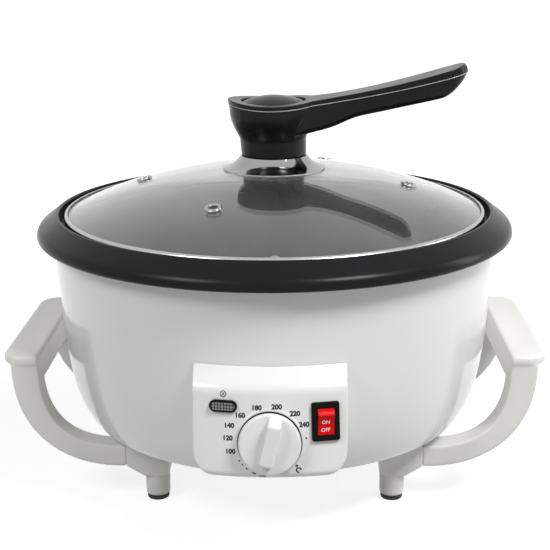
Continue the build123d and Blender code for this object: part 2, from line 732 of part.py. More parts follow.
def switch_rocker():
    """Rocker whose ends are arcs about its pivot and whose face is a shallow valley."""
    tip = (ROCKER_END, sqrt(ROCKER_SWEEP**2 - ROCKER_END**2))
    reach = radians(65)
    heel = (ROCKER_SWEEP * sin(reach), ROCKER_SWEEP * cos(reach))
    middle = (reach + atan2(*tip)) / 2
    mid = (ROCKER_SWEEP * sin(middle), ROCKER_SWEEP * cos(middle))
    face = ThreePointArc((-tip[0], tip[1]), (0, tip[1] - 0.9), tip)
    right = ThreePointArc(tip, mid, heel)
    left = ThreePointArc((-heel[0], heel[1]), (-mid[0], mid[1]), (-tip[0], tip[1]))
    under = Polyline(heel, (6.0, 2.0), (2.2, -2.0), (-2.2, -2.0), (-6.0, 2.0), (-heel[0], heel[1]))
    side = make_face(face + right + under + left)
    rocker = extrude(Plane.YZ * side, ROCKER_WIDTH / 2, both=True)
    rocker += Rot(0, 90, 0) * Cylinder(1.2, SWITCH_WELL[0] + 1.4)
    pivot = face_plane(SWITCH_X, SWITCH_Z) * Pos(0, 0, -ROCKER_PIVOT_DEPTH)
    return pivot * Rot(ROCKER_TILT, 0, 0) * rocker


def lamp_bezel():
    outer = extrude(SlotOverall(*LAMP_SIZE), 1.3)
    outer = Pos(0, 0, 0.1) * fillet(outer.edges().group_by(Axis.Z)[-1], 0.5)
    body = Pos(0, 0, -7) * extrude(SlotOverall(LAMP_SIZE[0] - 1.4, LAMP_SIZE[1] - 1.4), 7.5)
    mouth = SlotOverall(LAMP_SIZE[0] - 2 * LAMP_RIM, LAMP_SIZE[1] - 2 * LAMP_RIM)
    return face_plane(LAMP_X, LAMP_Z) * (outer + body - extrude(mouth, 10, both=True))


def lamp_lens():
    """Lens with a grid of small pyramids left by crossed grooves."""
    size = (LAMP_SIZE[0] - 2 * LAMP_RIM - 0.1, LAMP_SIZE[1] - 2 * LAMP_RIM - 0.1)
    lens = Pos(0, 0, -1.0) * extrude(SlotOverall(*size), 2.2)
    for i in range(-3, 4):
        lens -= Pos(i * 1.55, 0, 1.2) * Box(0.35, 10, 0.8)
    for i in (-1, 0, 1):
        lens -= Pos(0, i * 1.2, 1.2) * Box(16, 0.3, 0.8)
    return face_plane(LAMP_X, LAMP_Z) * lens


def neon_lamp():
    bulb = Rot(0, 90, 0) * Cylinder(1.7, 9)
    bulb = fillet(bulb.edges(), 1.2)
    return face_plane(LAMP_X, LAMP_Z) * Pos(0, 0, -3.0) * bulb


# ---- Pan and heating ----
def pan_filled(high, grow=0.0):
    """Filled form of the pan's inside, or larger all round by grow, up to a height."""
    foot = pan_mouth - PAN_DRAFT + grow
    return turned(
        outline(
            (0, pan_floor - grow),
            (foot, pan_floor - grow, PAN_CORNER + grow),
            (pan_mouth + grow, high),
            (0, high),
        )
    )


def pan():
    body = pan_filled(pan_top - 0.4, PAN_WALL)
    flange = turned(
        outline(
            (0, pan_top - PAN_FLANGE_THICKNESS),
            (pan_flange_radius, pan_top - PAN_FLANGE_THICKNESS, 0.5),
            (pan_flange_radius, pan_top, 0.5),
            (0, pan_top),
        )
    )
    tube = turned(
        outline(
            (0, pan_floor - 1),
            (TUBE_RADIUS + 2, pan_floor - 1),
            (TUBE_RADIUS + 1.8, pan_floor),
            (TUBE_RADIUS, pan_floor + 1.8),
            (TUBE_RADIUS, tube_top, 0.8),
            (0, tube_top),
        )
    )
    body = body + flange - pan_filled(pan_top)
    lip = body.edges().filter_by(GeomType.CIRCLE).filter_by(lambda e: abs(e.radius - pan_mouth) < 0.01)
    body = fillet(lip.sort_by(Axis.Z)[-1], 1.2)
    return body + tube - post(BUSHING_RADIUS + PRESS_GAP, pan_underside - 1, tube_top + 1)


def heating_element():
    """Ring-shaped tubular element with its two ends bent down to their terminals."""
    section = Plane.XZ * Pos(ELEMENT_CIRCLE, element_z) * Circle(ELEMENT_TUBE)
    ring = revolve(section, Axis.Z, ELEMENT_ARC)
    turn_z = element_z - ELEMENT_BEND
    end_z = turn_z - ELEMENT_TAIL
    elbow = revolve(section, Axis((0, 0, turn_z), (1, 0, 0)), 90)
    tail = elbow + post(ELEMENT_TUBE, end_z, turn_z, ELEMENT_CIRCLE, -ELEMENT_BEND)
    tail += post(1.4, end_z - 6, turn_z, ELEMENT_CIRCLE, -ELEMENT_BEND)
    element = ring + tail + Rot(0, 0, ELEMENT_ARC) * mirror(tail, Plane.XZ)
    return Rot(0, 0, element_turn) * element


def element_tail_places():
    start = Rot(0, 0, element_turn) * Pos(ELEMENT_CIRCLE, -ELEMENT_BEND)
    end = Rot(0, 0, element_turn + ELEMENT_ARC) * Pos(ELEMENT_CIRCLE, ELEMENT_BEND)
    return [start, end]


def element_clips():
    """Straps that hold the element up against the pan, with feet spot-welded to it."""
    inner = ELEMENT_TUBE + SEAT_GAP
    outer = inner + CLIP_SHEET
    shape = Circle(outer) + Pos(0, ELEMENT_TUBE / 2) * Rectangle(2 * outer, ELEMENT_TUBE)
    shape += Pos(0, ELEMENT_TUBE - CLIP_SHEET / 2) * Rectangle(2 * outer + 12, CLIP_SHEET)
    shape -= Circle(inner) + Pos(0, ELEMENT_TUBE / 2 + 1) * Rectangle(2 * inner, ELEMENT_TUBE + 2)
    clip = extrude(Plane.XZ * shape, 4, both=True)
    return joined(place * Pos(0, 0, element_z) * clip for place in around(3, ELEMENT_CIRCLE, -90))


def heat_shield():
    high = shield_z + SHIELD_SHEET
    rim = shield_radius + 2
    plate = turned(
        outline(
            (13, shield_z),
            (shield_radius, shield_z, 3.0),
            (rim, shield_z + SHIELD_LIP),
            (rim - SHIELD_SHEET, shield_z + SHIELD_LIP),
            (shield_radius - SHIELD_SHEET, high, 2.0),
            (13, high),
        )
    )
    for place in element_tail_places():
        plate -= place * post(ELEMENT_TUBE + 1.6, shield_z - 1, high + 1)
    for place in standoff_places():
        plate -= place * post(M3 + SCREW_GAP, shield_z - 1, high + 1)
    for place in around(12, SHIELD_HOLE_CIRCLE, 15):
        plate -= place * post(3, shield_z - 1, high + 1)
    return plate


def standoff_places():
    return around(STANDOFF_COUNT, standoff_circle, 30)


def shield_standoffs():
    hexagon = Pos(0, 0, base_top) * extrude(RegularPolygon(4.0, 6), shield_z - base_top)
    stud = post(M3, shield_z - 1, shield_z + 5)
    nut = Pos(0, 0, shield_z + SHIELD_SHEET) * extrude(RegularPolygon(3.1, 6), 2.2)
    return joined(place * (hexagon + stud + nut) for place in standoff_places())


def thermal_cutout():
    top = pan_underside - SEAT_GAP
    low = top - CUTOUT_HEIGHT
    body = post(CUTOUT_RADIUS, top - 5, top, CUTOUT_X) + post(CUTOUT_RADIUS - 1, low, top - 4, CUTOUT_X)
    half = SPADE_SHEET / 2
    for y in (-4.5, 4.5):
        body += block((CUTOUT_X - half, CUTOUT_X + half), (y - 3, y + 3), (low - 3, low + 1))
    return body


# ---- Drive ----
def motor():
    can = post(MOTOR_RADIUS, motor_low, motor_top - 1.2)
    can = fillet(can.edges().group_by(Axis.Z)[0], 2.0)
    ear_shape = Rot(0, 0, 90) * SlotOverall(2 * MOTOR_EAR_REACH + 10, 11) + Circle(MOTOR_RADIUS - 0.6)
    ears = Pos(0, 0, motor_top - 1.2) * extrude(ear_shape, 1.2)
    body = can + ears + post(MOTOR_SPIGOT, motor_top - 1, motor_top + BRACKET_SHEET)
    body += block((-14, 14), (-MOTOR_RADIUS + 1, -MOTOR_RADIUS + 4), (motor_low + 5, motor_low + 15))
    for y in (-MOTOR_EAR_REACH, MOTOR_EAR_REACH):
        body -= post(M3 + SCREW_GAP, motor_top - 3, motor_top + 1, 0, y)
    return body - post(OUTPUT_RADIUS + RUNNING_GAP, motor_low + 6, motor_top + 10)


def motor_output_shaft():
    shaft = post(OUTPUT_RADIUS, motor_low + 6.5, output_top)
    return chamfer(shaft.edges().group_by(Axis.Z)[-1], 0.5)


def motor_bracket():
    """Bridge of folded sheet that stands on the base plate, with the motor slung under it."""
    half = BRACKET_HALF_SPAN
    top = motor_top + BRACKET_SHEET
    sheet = BRACKET_SHEET
    right = [
        (half, motor_top, 1.5),
        (half, base_top, 3.0),
        (half + 15, base_top),
        (half + 15, base_top + sheet),
        (half + sheet, base_top + sheet, 1.0),
        (half + sheet, top, 3.0),
    ]
    left = [(-corner[0], *corner[1:]) for corner in reversed(right)]
    bracket = extrude(Plane.YZ * outline(*right, *left), BRACKET_WIDTH / 2, both=True)
    bracket -= post(MOTOR_SPIGOT + 0.5, motor_top - 1, top + 1)
    for y in (-MOTOR_EAR_REACH, MOTOR_EAR_REACH):
        bracket -= post(M3 + SCREW_GAP, motor_top - 1, top + 1, 0, y)
    for y in (-bracket_foot_y, bracket_foot_y):
        bracket -= post(M4 + SCREW_GAP, base_top - 1, base_top + sheet + 1, 0, y)
    return bracket


def motor_screws():
    down = Pos(0, 0, motor_top + BRACKET_SHEET) * screw(M3, 6.5, 2.8, 2.0)
    return joined(Pos(0, y, 0) * down for y in (-MOTOR_EAR_REACH, MOTOR_EAR_REACH))


def bracket_screws():
    down = Pos(0, 0, base_top + BRACKET_SHEET) * screw(M4, 4.6, 3.6, 2.4)
    return joined(Pos(0, y, 0) * down for y in (-bracket_foot_y, bracket_foot_y))


def shaft_coupling():
    """Sleeve that joins the motor's shaft to the drive shaft, with two set-screw holes."""
    sleeve = post(COUPLING_RADIUS, coupling_low, coupling_low + COUPLING_LENGTH)
    sleeve = chamfer(sleeve.edges(), 0.6)
    sleeve -= post(OUTPUT_RADIUS + PRESS_GAP, coupling_low - 1, output_top + 0.2)
    sleeve -= post(SHAFT_RADIUS + PRESS_GAP, output_top, coupling_low + COUPLING_LENGTH + 1)
    for z in (coupling_low + 3.5, coupling_low + COUPLING_LENGTH - 3.5):
        sleeve -= Pos(0, -COUPLING_RADIUS, z) * Rot(90, 0, 0) * Cylinder(1.5, 5)
    return sleeve


def shaft_bushing():
    bush = post(BUSHING_RADIUS, pan_underside, tube_top) + post(9, tube_top, tube_top + 1.2)
    return bush - post(SHAFT_RADIUS + RUNNING_GAP, pan_underside - 1, tube_top + 3)


def flatted(radius, across, low, high):
    """Upright round bar with two flats."""
    return post(radius, low, high) & block((-radius, radius), (-across / 2, across / 2), (low, high))


def drive_shaft():
    shaft = post(SHAFT_RADIUS, output_top + 0.4, shoulder_z)
    shaft += flatted(SHAFT_RADIUS, SHAFT_FLATS, shoulder_z - 0.5, hub_top - 3)
    thread = post(2.9, hub_top - 4, hub_top + NUT_HEIGHT - 3)
    return shaft + chamfer(thread.edges().group_by(Axis.Z)[-1], 0.5)


def stirrer_hub():
    """Hollow hub that covers the pan's centre tube, with two lugs for the blades."""
    low = blade_low
    top_radius = HUB_RADIUS - 8
    skirt = Spline(
        (HUB_RADIUS, low + 5),
        (HUB_RADIUS - 2.6, low + HUB_HEIGHT * 0.55),
        (top_radius, hub_top - 1.2),
    )
    rest = Polyline(
        (top_radius, hub_top - 1.2),
        (top_radius - 1, hub_top),
        (0, hub_top),
        (0, low),
        (HUB_RADIUS, low),
        (HUB_RADIUS, low + 5),
    )
    hub = turned(make_face(skirt + rest))
    half = LUG_THICKNESS / 2
    lug = block((8, LUG_REACH), (-half, half), (low + 1.5, low + BLADE_HEIGHT - 2))
    hub += lug + Rot(0, 0, 180) * lug
    hub -= post(TUBE_RADIUS + 1.6, low - 1, tube_top + 2.4)
    hub -= post(SHAFT_RADIUS + 0.1, tube_top, shoulder_z + 0.1)
    hub -= flatted(SHAFT_RADIUS + 0.05, SHAFT_FLATS + 0.1, shoulder_z, hub_top + 1)
    for place in blade_screw_places():
        hub -= place * Cylinder(PILOT, 4 * LUG_THICKNESS)
    return hub


def blade_screw_places():
    """Where the blades' screws enter the lugs, with Z along the screw, head end outward."""
    face_y = -LUG_THICKNESS / 2 - BLADE_SHEET
    z = blade_low + BLADE_HEIGHT / 2
    places = []
    for turn in (0, 180):
        for x in (HUB_RADIUS + 2.4, LUG_REACH - 2.6):
            places.append(Rot(0, 0, turn) * Pos(x, face_y, z) * Rot(90, 0, 0))
    return places


def blade_screws():
    short_screw = screw(TAPPING_SCREW, BLADE_SHEET + LUG_THICKNESS, 2.2, 1.5)
    return joined(place * short_screw for place in blade_screw_places())


def blade(reach, height):
    """Ploughing blade: an upright swept web, folded forward along its foot into a scraper."""
    y = -LUG_THICKNESS / 2 - BLADE_SHEET / 2
    knee = LUG_REACH + 1
    run = reach - knee
    sweep = BLADE_TIP_SWEEP * (run / (pan_mouth - knee)) ** 2
    bend = (run**2 + sweep**2) / (2 * sweep)
    turn = degrees(asin(run / bend))

    def swept(offset):
        return CenterArc((knee, y - bend), bend + offset, 90 - turn, turn)

    path = Line((HUB_RADIUS + 0.6, y), (knee, y)) + swept(0)
    web = Pos(0, 0, blade_low) * extrude(trace(path, BLADE_SHEET), height)
    toe = trace(swept(SCRAPER_WIDTH / 2), SCRAPER_WIDTH)
    scraper = Pos(0, 0, blade_low) * extrude(toe, BLADE_SHEET)
    top = blade_low + height
    side = outline((0, blade_low), (reach, blade_low, PAN_CORNER), (reach, top), (0, top))
    return (web + scraper) & extrude(Plane.XZ * side, pan_mouth, both=True)


def stirrer_blade_long():
    body = blade(pan_mouth - PAN_DRAFT - BLADE_WALL_GAP, BLADE_HEIGHT)
    return body - joined(place * Cylinder(1.3, 8) for place in blade_screw_places()[:2])


def stirrer_blade_short():
    body = Rot(0, 0, 180) * blade((pan_mouth + HUB_RADIUS) * 0.58, BLADE_HEIGHT - 4)
    return body - joined(place * Cylinder(1.3, 8) for place in blade_screw_places()[2:])


def stirrer_nut():
    low = hub_top + 0.2
    flats = RegularPolygon(NUT_ACROSS_FLATS / 2, 6, major_radius=False)
    hexagon = Pos(0, 0, low) * extrude(flats, NUT_HEIGHT * 0.55)
    dome = Pos(0, 0, low + NUT_HEIGHT * 0.45) * Sphere(NUT_ACROSS_FLATS * 0.46)
    nut = hexagon + (dome & post(NUT_ACROSS_FLATS, low + 1, low + NUT_HEIGHT))
    return nut - post(2.95, low - 1, hub_top + NUT_HEIGHT - 2.8)


# ---- Cord entry ----
def grommet_plane():
    """Plane on the rear of the body, facing out."""
    slope = body_slope(GROMMET_Z)
    return Plane(origin=(0, body_radius(GROMMET_Z), GROMMET_Z), x_dir=(-1, 0, 0), z_dir=(0, 1, -slope))


def cord_grommet():
    low = -SHELL_WALL - SEAT_GAP
    bush = post(GROMMET_NECK, low - 1, 2) + post(GROMMET_FLANGE, low - 2.6, low - 0.1)
    collar = post(GROMMET_FLANGE, SEAT_GAP, 3.2)
    collar = fillet(collar.edges().group_by(Axis.Z)[-1], 1.4)
    return grommet_plane() * (bush + collar - post(CORD_BORE, low - 4, 5))


def terminal_block():
    reach = base_radius - TERMINAL_BLOCK_INSET
    x = reach * cos(radians(TERMINAL_BLOCK_ANGLE))
    y = reach * sin(radians(TERMINAL_BLOCK_ANGLE))
    body = block((x - 15, x + 15), (y - 8, y + 8), (base_top, base_top + 12))
    for i in (-1, 0, 1):
        body -= post(2.2, base_top + 6, base_top + 13, x + 9 * i, y - 4)
        body -= post(2.2, base_top + 6, base_top + 13, x + 9 * i, y + 4)
        body -= Pos(x + 9 * i, y, base_top + 4) * Rot(90, 0, 0) * Cylinder(1.8, 20)
    return body


# ---- Lid ----
def dome_section(inner, outer, top, bottom):
    """Section of a slice of the glass dome, between two depths below its top surface."""
    stations = (inner, (inner + outer) / 2, outer)
    upper = ThreePointArc(*[(radius, glass_z(radius, top)) for radius in stations])
    lower = ThreePointArc(*[(radius, glass_z(radius, bottom)) for radius in reversed(stations)])
    return make_face(upper + Line(upper @ 1, lower @ 0) + lower + Line(lower @ 1, upper @ 0))


def eyelet_planes():
    slope = EYELET_CIRCLE / GLASS_DOME_RADIUS
    planes = []
    for angle in EYELET_ANGLES:
        turn = radians(angle)
        out = Vector(cos(turn), sin(turn), 0)
        planes.append(
            Plane(
                origin=out * EYELET_CIRCLE + Vector(0, 0, glass_z(EYELET_CIRCLE)),
                x_dir=(-sin(turn), cos(turn), 0),
                z_dir=out * slope + Vector(0, 0, sqrt(1 - slope**2)),
            )
        )
    return planes


def lid_glass():
    glass = turned(dome_section(LID_HOLE_RADIUS, glass_edge_radius, 0, GLASS_THICKNESS))
    for plane in eyelet_planes():
        glass -= plane * Cylinder(EYELET_TUBE + 0.2, 4 * GLASS_THICKNESS)
    return glass


def lid_ring():
    """Rolled steel channel round the edge of the glass."""
    sheet = LID_RING_SHEET
    inner = LID_RADIUS - LID_RING_DEPTH
    lip = LID_RADIUS - LID_RING_LIP
    top_inner = glass_z(lip) + SEAT_GAP
    top_outer = glass_z(glass_edge_radius) + SEAT_GAP
    section = outline(
        (inner, lid_bottom),
        (LID_RADIUS, lid_bottom, 1.2),
        (LID_RADIUS, top_outer + sheet, 1.8),
        (lip, top_inner + sheet),
        (lip, top_inner),
        (glass_edge_radius + SEAT_GAP, top_outer, 0.3),
        (glass_edge_radius + SEAT_GAP, lid_bottom + sheet, 0.6),
        (inner, lid_bottom + sheet),
    )
    return turned(section)


def lid_eyelets():
    """Steam vents: turned-over tubes with a flange on each side of the glass."""
    section = outline(
        (EYELET_BORE, -GLASS_THICKNESS - 1.0, 0.4),
        (EYELET_FLANGE, -GLASS_THICKNESS - 1.0, 0.4),
        (EYELET_FLANGE, -GLASS_THICKNESS - 0.15),
        (EYELET_TUBE, -GLASS_THICKNESS - 0.15),
        (EYELET_TUBE, 0.15),
        (EYELET_FLANGE, 0.15),
        (EYELET_FLANGE, 1.5, 0.7),
        (EYELET_BORE, 1.5, 0.5),
    )
    return joined(plane * turned(section) for plane in eyelet_planes())


def lid_flange():
    """Bell of spun steel that spreads the knob's load over the glass."""
    foot = glass_z(FLANGE_FOOT_RADIUS) + SEAL_THICKNESS
    top = foot + FLANGE_RISE
    neck = NECK_RADIUS + 0.5
    waist = (FLANGE_FOOT_RADIUS + neck) / 2 - 0.9
    waist_z = foot + FLANGE_RISE * 0.42
    bore = LID_SCREW_RADIUS + SEAT_GAP
    sheet = FLANGE_SHEET
    outer = ThreePointArc((FLANGE_FOOT_RADIUS, foot), (waist, waist_z), (neck, top))
    over = Polyline((neck, top), (bore, top), (bore, top - sheet), (neck - sheet, top - sheet))
    inner = ThreePointArc(
        (neck - sheet, top - sheet),
        (waist - sheet, waist_z - sheet * 0.6),
        (FLANGE_FOOT_RADIUS - sheet * 1.5, foot),
    )
    return turned(make_face(outer + over + inner + Line(inner @ 1, outer @ 0)))


def lid_seal():
    outer = FLANGE_FOOT_RADIUS - 0.4
    return turned(dome_section(outer - 3.6, outer, 0.15 - SEAL_THICKNESS, -0.05))


def washer_underside():
    return glass_z(LID_WASHER_RADIUS, GLASS_THICKNESS) - SEAT_GAP - LID_WASHER_THICKNESS


def lid_washer():
    low = washer_underside()
    bore = LID_SCREW_RADIUS + SCREW_GAP
    section = outline(
        (bore, low),
        (LID_WASHER_RADIUS, low, 0.5),
        (LID_WASHER_RADIUS, low + LID_WASHER_THICKNESS),
        (bore, low + LID_WASHER_THICKNESS),
    )
    return turned(section)


def lid_screw():
    head = washer_underside()
    return Pos(0, 0, head) * Rot(180, 0, 0) * screw(LID_SCREW_RADIUS, neck_foot + 12 - head, 5.5, 2.8)


def parting_z(x):
    """Height of the seam between the handle's lower shell and its cover."""
    saddle = 0.0028 * min(x, 0) ** 2
    rise = HANDLE_RISE * (max(x, 0) / HANDLE_REACH) ** 1.55
    return cup_top + 1.2 + saddle + rise


def cover_z(x):
    """Height of the cover's top surface along the handle."""
    growth = 2.2 * (max(x, 0) / HANDLE_REACH) ** 2
    return parting_z(x) + COVER_THICKNESS + growth


def beam_plan(inset=0.0):
    """Plan of the long beam: gussets that start inside the cup, a waist and a rounded tip."""
    half = BEAM_HALF_WIDTH - inset
    tip = BEAM_TIP_HALF_WIDTH - inset
    reach = HANDLE_REACH - inset
    bulge = reach - 16
    root = (NECK_RADIUS * 0.6, NECK_RADIUS * 0.93 - inset)
    gusset = (NECK_RADIUS * 1.2, BEAM_HALF_WIDTH + BEAM_GUSSET - inset)
    waist = (CUP_RADIUS + 20, half)
    side = Spline(root, gusset, waist, (bulge, tip), tangents=((1, -0.25), (1, 0)))
    nose = Spline((bulge, tip), (reach - 3.6, tip * 0.66), (reach, 0), tangents=((1, 0), (0, -1)))
    upper = side + nose
    return make_face(upper + mirror(upper, Plane.XZ) + Line(root, (root[0], -root[1])))


def handle_band(low, high, start, end):
    """Side view between two height functions."""
    steps = 9
    xs = [start + (end - start) * i / steps for i in range(steps + 1)]
    bottom = Spline(*[(x, low(x)) for x in xs])
    top = Spline(*[(x, high(x)) for x in reversed(xs)])
    return make_face(bottom + Line(bottom @ 1, top @ 0) + top + Line(top @ 1, bottom @ 0))


def beam_under(x):
    """Height of the beam's underside: deep at the cup, slimmer past a soft step."""
    slope = (x - NECK_RADIUS) / (HANDLE_REACH - NECK_RADIUS)
    root = 3.2 / (1 + exp((x - 42) / 3.2))
    tip = 5.0 * max(0.0, (x - HANDLE_REACH + 14) / 14) ** 2
    return cup_top - 11.2 + 21.0 * slope - root + tip


def cup_form(inset=0.0):
    """Round part of the handle: a neck that flares into a cup, up past the seam."""
    neck = NECK_RADIUS - inset
    low = neck_foot + inset
    flare = Spline(
        (neck, neck_foot + NECK_HEIGHT),
        (CUP_RADIUS - 4.9 - inset, neck_foot + NECK_HEIGHT + 7.5),
        (CUP_RADIUS - 1.4 - inset, neck_foot + NECK_HEIGHT + 16.5),
        (CUP_RADIUS - inset, cup_top + 8),
    )
    rest = Polyline(
        flare @ 1,
        (0, cup_top + 8),
        (0, low),
        (neck, low),
        flare @ 0,
    )
    return turned(make_face(flare + rest))


def handle_form(inset=0.0):
    """Filled cup and beam together, up past the cover's top."""
    start = NECK_RADIUS * 0.6
    end = HANDLE_REACH + 5
    side = handle_band(lambda x: beam_under(x) + inset, lambda x: cover_z(x) + 4, start, end)
    plan = extrude(Pos(0, 0, neck_foot) * beam_plan(inset), 90)
    beam = extrude(Plane.XZ * side, 40, both=True) & plan
    if not inset:
        under = beam.edges().filter_by(lambda e: e.length > 50).sort_by(Axis.Z)[:2]
        beam = fillet(under, BEAM_EDGE)
    return cup_form(inset) + beam


def seam_band(low, high):
    """Slice of space between two height functions, wide enough for the whole handle."""
    return extrude(Plane.XZ * handle_band(low, high, -40, HANDLE_REACH + 5), 40, both=True)


def lid_handle_lower():
    """Cup and lower half of the long handle: a hollow moulding open along its seam."""
    outer = handle_form() & seam_band(lambda x: neck_foot - 5, parting_z)
    shell = outer - handle_form(HANDLE_WALL)
    shell += post(6.5, neck_foot + 1, cup_top - 8)
    for turn in (0, 90, 180, 270):
        rib = block((5, NECK_RADIUS - 1), (-0.9, 0.9), (neck_foot + 1, neck_foot + 9))
        shell += Rot(0, 0, turn) * rib
    return shell - post(LID_SCREW_RADIUS + PRESS_GAP, neck_foot - 1, neck_foot + 14)


def lid_handle_cover():
    """Cover that closes the handle: follows the seam, with a seat for the knob's cap."""
    cover = handle_form() & seam_band(parting_z, cover_z)
    return cover - post(CAP_RADIUS + SEAT_GAP, cap_low, cup_top + 30)


def knob_cap():
    """Shallow dome let into the cover over the neck."""
    edge = cap_low + 1.2
    apex = edge + CAP_RISE
    dome = (CAP_RADIUS**2 + CAP_RISE**2) / (2 * CAP_RISE)
    shoulder = (CAP_RADIUS / 2, apex - dome + sqrt(dome**2 - CAP_RADIUS**2 / 4))
    arc = ThreePointArc((CAP_RADIUS, edge), shoulder, (0, apex))
    rest = Polyline((0, apex), (0, cap_low), (CAP_RADIUS, cap_low), (CAP_RADIUS, edge))
    return turned(make_face(arc + rest))


NODES = {
    "body_shell": body_shell,
    "rim_ring": rim_ring,
    "base_plate": base_plate,
    "base_screws": base_screws,
    "handle_screws": handle_screws,
    "leg_screws": leg_screws,
    "foot_screws": foot_screws,
    "panel_housing": panel_housing,
    "panel_screws": panel_screws,
    "dial_ring": dial_ring,
    "dial_knob": dial_knob,
    "thermostat": thermostat,
    "thermostat_spindle": thermostat_spindle,
    "thermostat_nut": thermostat_nut,
    "switch_housing": switch_housing,
    "switch_rocker": switch_rocker,
    "lamp_bezel": lamp_bezel,
    "lamp_lens": lamp_lens,
    "neon_lamp": neon_lamp,
    "pan": pan,
    "heating_element": heating_element,
    "element_clips": element_clips,
    "heat_shield": heat_shield,
    "shield_standoffs": shield_standoffs,
    "thermal_cutout": thermal_cutout,
    "motor": motor,
    "motor_output_shaft": motor_output_shaft,
    "motor_bracket": motor_bracket,
    "motor_screws": motor_screws,
    "bracket_screws": bracket_screws,
    "shaft_coupling": shaft_coupling,
    "shaft_bushing": shaft_bushing,
    "drive_shaft": drive_shaft,
    "stirrer_hub": stirrer_hub,
    "stirrer_blade_long": stirrer_blade_long,
    "stirrer_blade_short": stirrer_blade_short,
    "blade_screws": blade_screws,
    "stirrer_nut": stirrer_nut,
    "cord_grommet": cord_grommet,
    "terminal_block": terminal_block,
    "lid_glass": lid_glass,
    "lid_ring": lid_ring,
    "lid_eyelets": lid_eyelets,
    "lid_flange": lid_flange,
    "lid_seal": lid_seal,
    "lid_washer": lid_washer,
    "lid_screw": lid_screw,
    "lid_handle_lower": lid_handle_lower,
    "lid_handle_cover": lid_handle_cover,
    "knob_cap": knob_cap,
}


def save(name, shape):
    shape.label = name
    export_step(shape, f"parts/{name}.step")


os.makedirs("parts", exist_ok=True)
for name, make in NODES.items():
    save(name, make())

right_handle = side_handle()
save("side_handle_right", right_handle)
save("side_handle_left", mirror(right_handle, Plane.YZ))

right_leg = leg()
foot = rubber_foot()
for x, y in leg_places():
    corner = ("rear" if y > 0 else "front") + "_" + ("right" if x > 0 else "left")
    turned_leg = right_leg if x > 0 else mirror(right_leg, Plane.YZ)
    save(f"leg_{corner}", Pos(x, y, 0) * turned_leg)
    save(f"rubber_foot_{corner}", Pos(x, y, 0) * foot)
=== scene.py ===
import json
from math import asin, cos, exp, pi, radians, sin, sqrt, tan

import bmesh
import bpy
from bpy.props import FloatProperty, FloatVectorProperty, IntProperty, PointerProperty
from mathutils import Matrix, Vector
from mathutils.bvhtree import BVHTree


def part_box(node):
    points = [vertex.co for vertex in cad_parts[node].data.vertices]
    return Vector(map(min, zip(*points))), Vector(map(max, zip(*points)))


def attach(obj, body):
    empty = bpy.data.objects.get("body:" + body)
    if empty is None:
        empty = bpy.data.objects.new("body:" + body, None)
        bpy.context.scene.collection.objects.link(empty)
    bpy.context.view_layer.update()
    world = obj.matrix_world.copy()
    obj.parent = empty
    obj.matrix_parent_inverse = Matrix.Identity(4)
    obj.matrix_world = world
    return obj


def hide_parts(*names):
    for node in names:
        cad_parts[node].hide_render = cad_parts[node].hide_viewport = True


bl_info = {
    "name": "Countertop coffee roaster",
    "version": (1, 0, 0),
    "blender": (4, 5, 0),
    "location": "View3D > Sidebar > Roaster",
    "description": "Models and finishes a countertop coffee roaster around its packed frame",
    "category": "Object",
}

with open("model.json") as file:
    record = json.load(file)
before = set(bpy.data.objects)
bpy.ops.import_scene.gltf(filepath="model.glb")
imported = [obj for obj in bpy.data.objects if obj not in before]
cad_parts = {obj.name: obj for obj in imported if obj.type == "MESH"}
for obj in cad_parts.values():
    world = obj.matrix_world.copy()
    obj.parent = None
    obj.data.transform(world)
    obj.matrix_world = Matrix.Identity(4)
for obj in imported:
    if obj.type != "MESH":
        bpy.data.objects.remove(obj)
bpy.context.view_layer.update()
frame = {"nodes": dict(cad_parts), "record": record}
NODES = frame["nodes"]
MM = 0.001

# ---- Places taken from the frame ----
BODY_LOW, BODY_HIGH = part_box("body_shell")
RIM_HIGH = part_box("rim_ring")[1]
PAN_LOW, PAN_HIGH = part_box("pan")
RING_LOW, RING_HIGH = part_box("lid_ring")
GLASS_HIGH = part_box("lid_glass")[1]
FLANGE_LOW, FLANGE_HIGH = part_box("lid_flange")
CAP_LOW, CAP_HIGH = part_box("knob_cap")
BUSHING_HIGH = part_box("shaft_bushing")[1]

# ---- Sizes shared by several pieces, in metres ----
SEAT_GAP = 0.3 * MM
SHELL_WALL = 2.6 * MM
BODY_TOP_RADIUS = 137.0 * MM
BODY_DRAFT = 0.055
BODY_TUCK = 12.2 * MM
BODY_TUCK_HEIGHT = 17.6 * MM
PANEL_LEAN = radians(7.6)
PANEL_CREASE_Z = 106.4 * MM
PANEL_PROUD = 12.7 * MM
GLASS_DOME = 321.0 * MM
GLASS_THICKNESS = 4.0 * MM
GLASS_HOLE = 4.0 * MM
EYELET_CIRCLE = 83.0 * MM
EYELET_ANGLES = (-113.0, -7.4, 67.0, 172.6)
DIAL_Z = 77.8 * MM
SWITCH_X, SWITCH_Z = 29.3 * MM, 88.5 * MM
LAMP_X, LAMP_Z = -24.4 * MM, 96.9 * MM

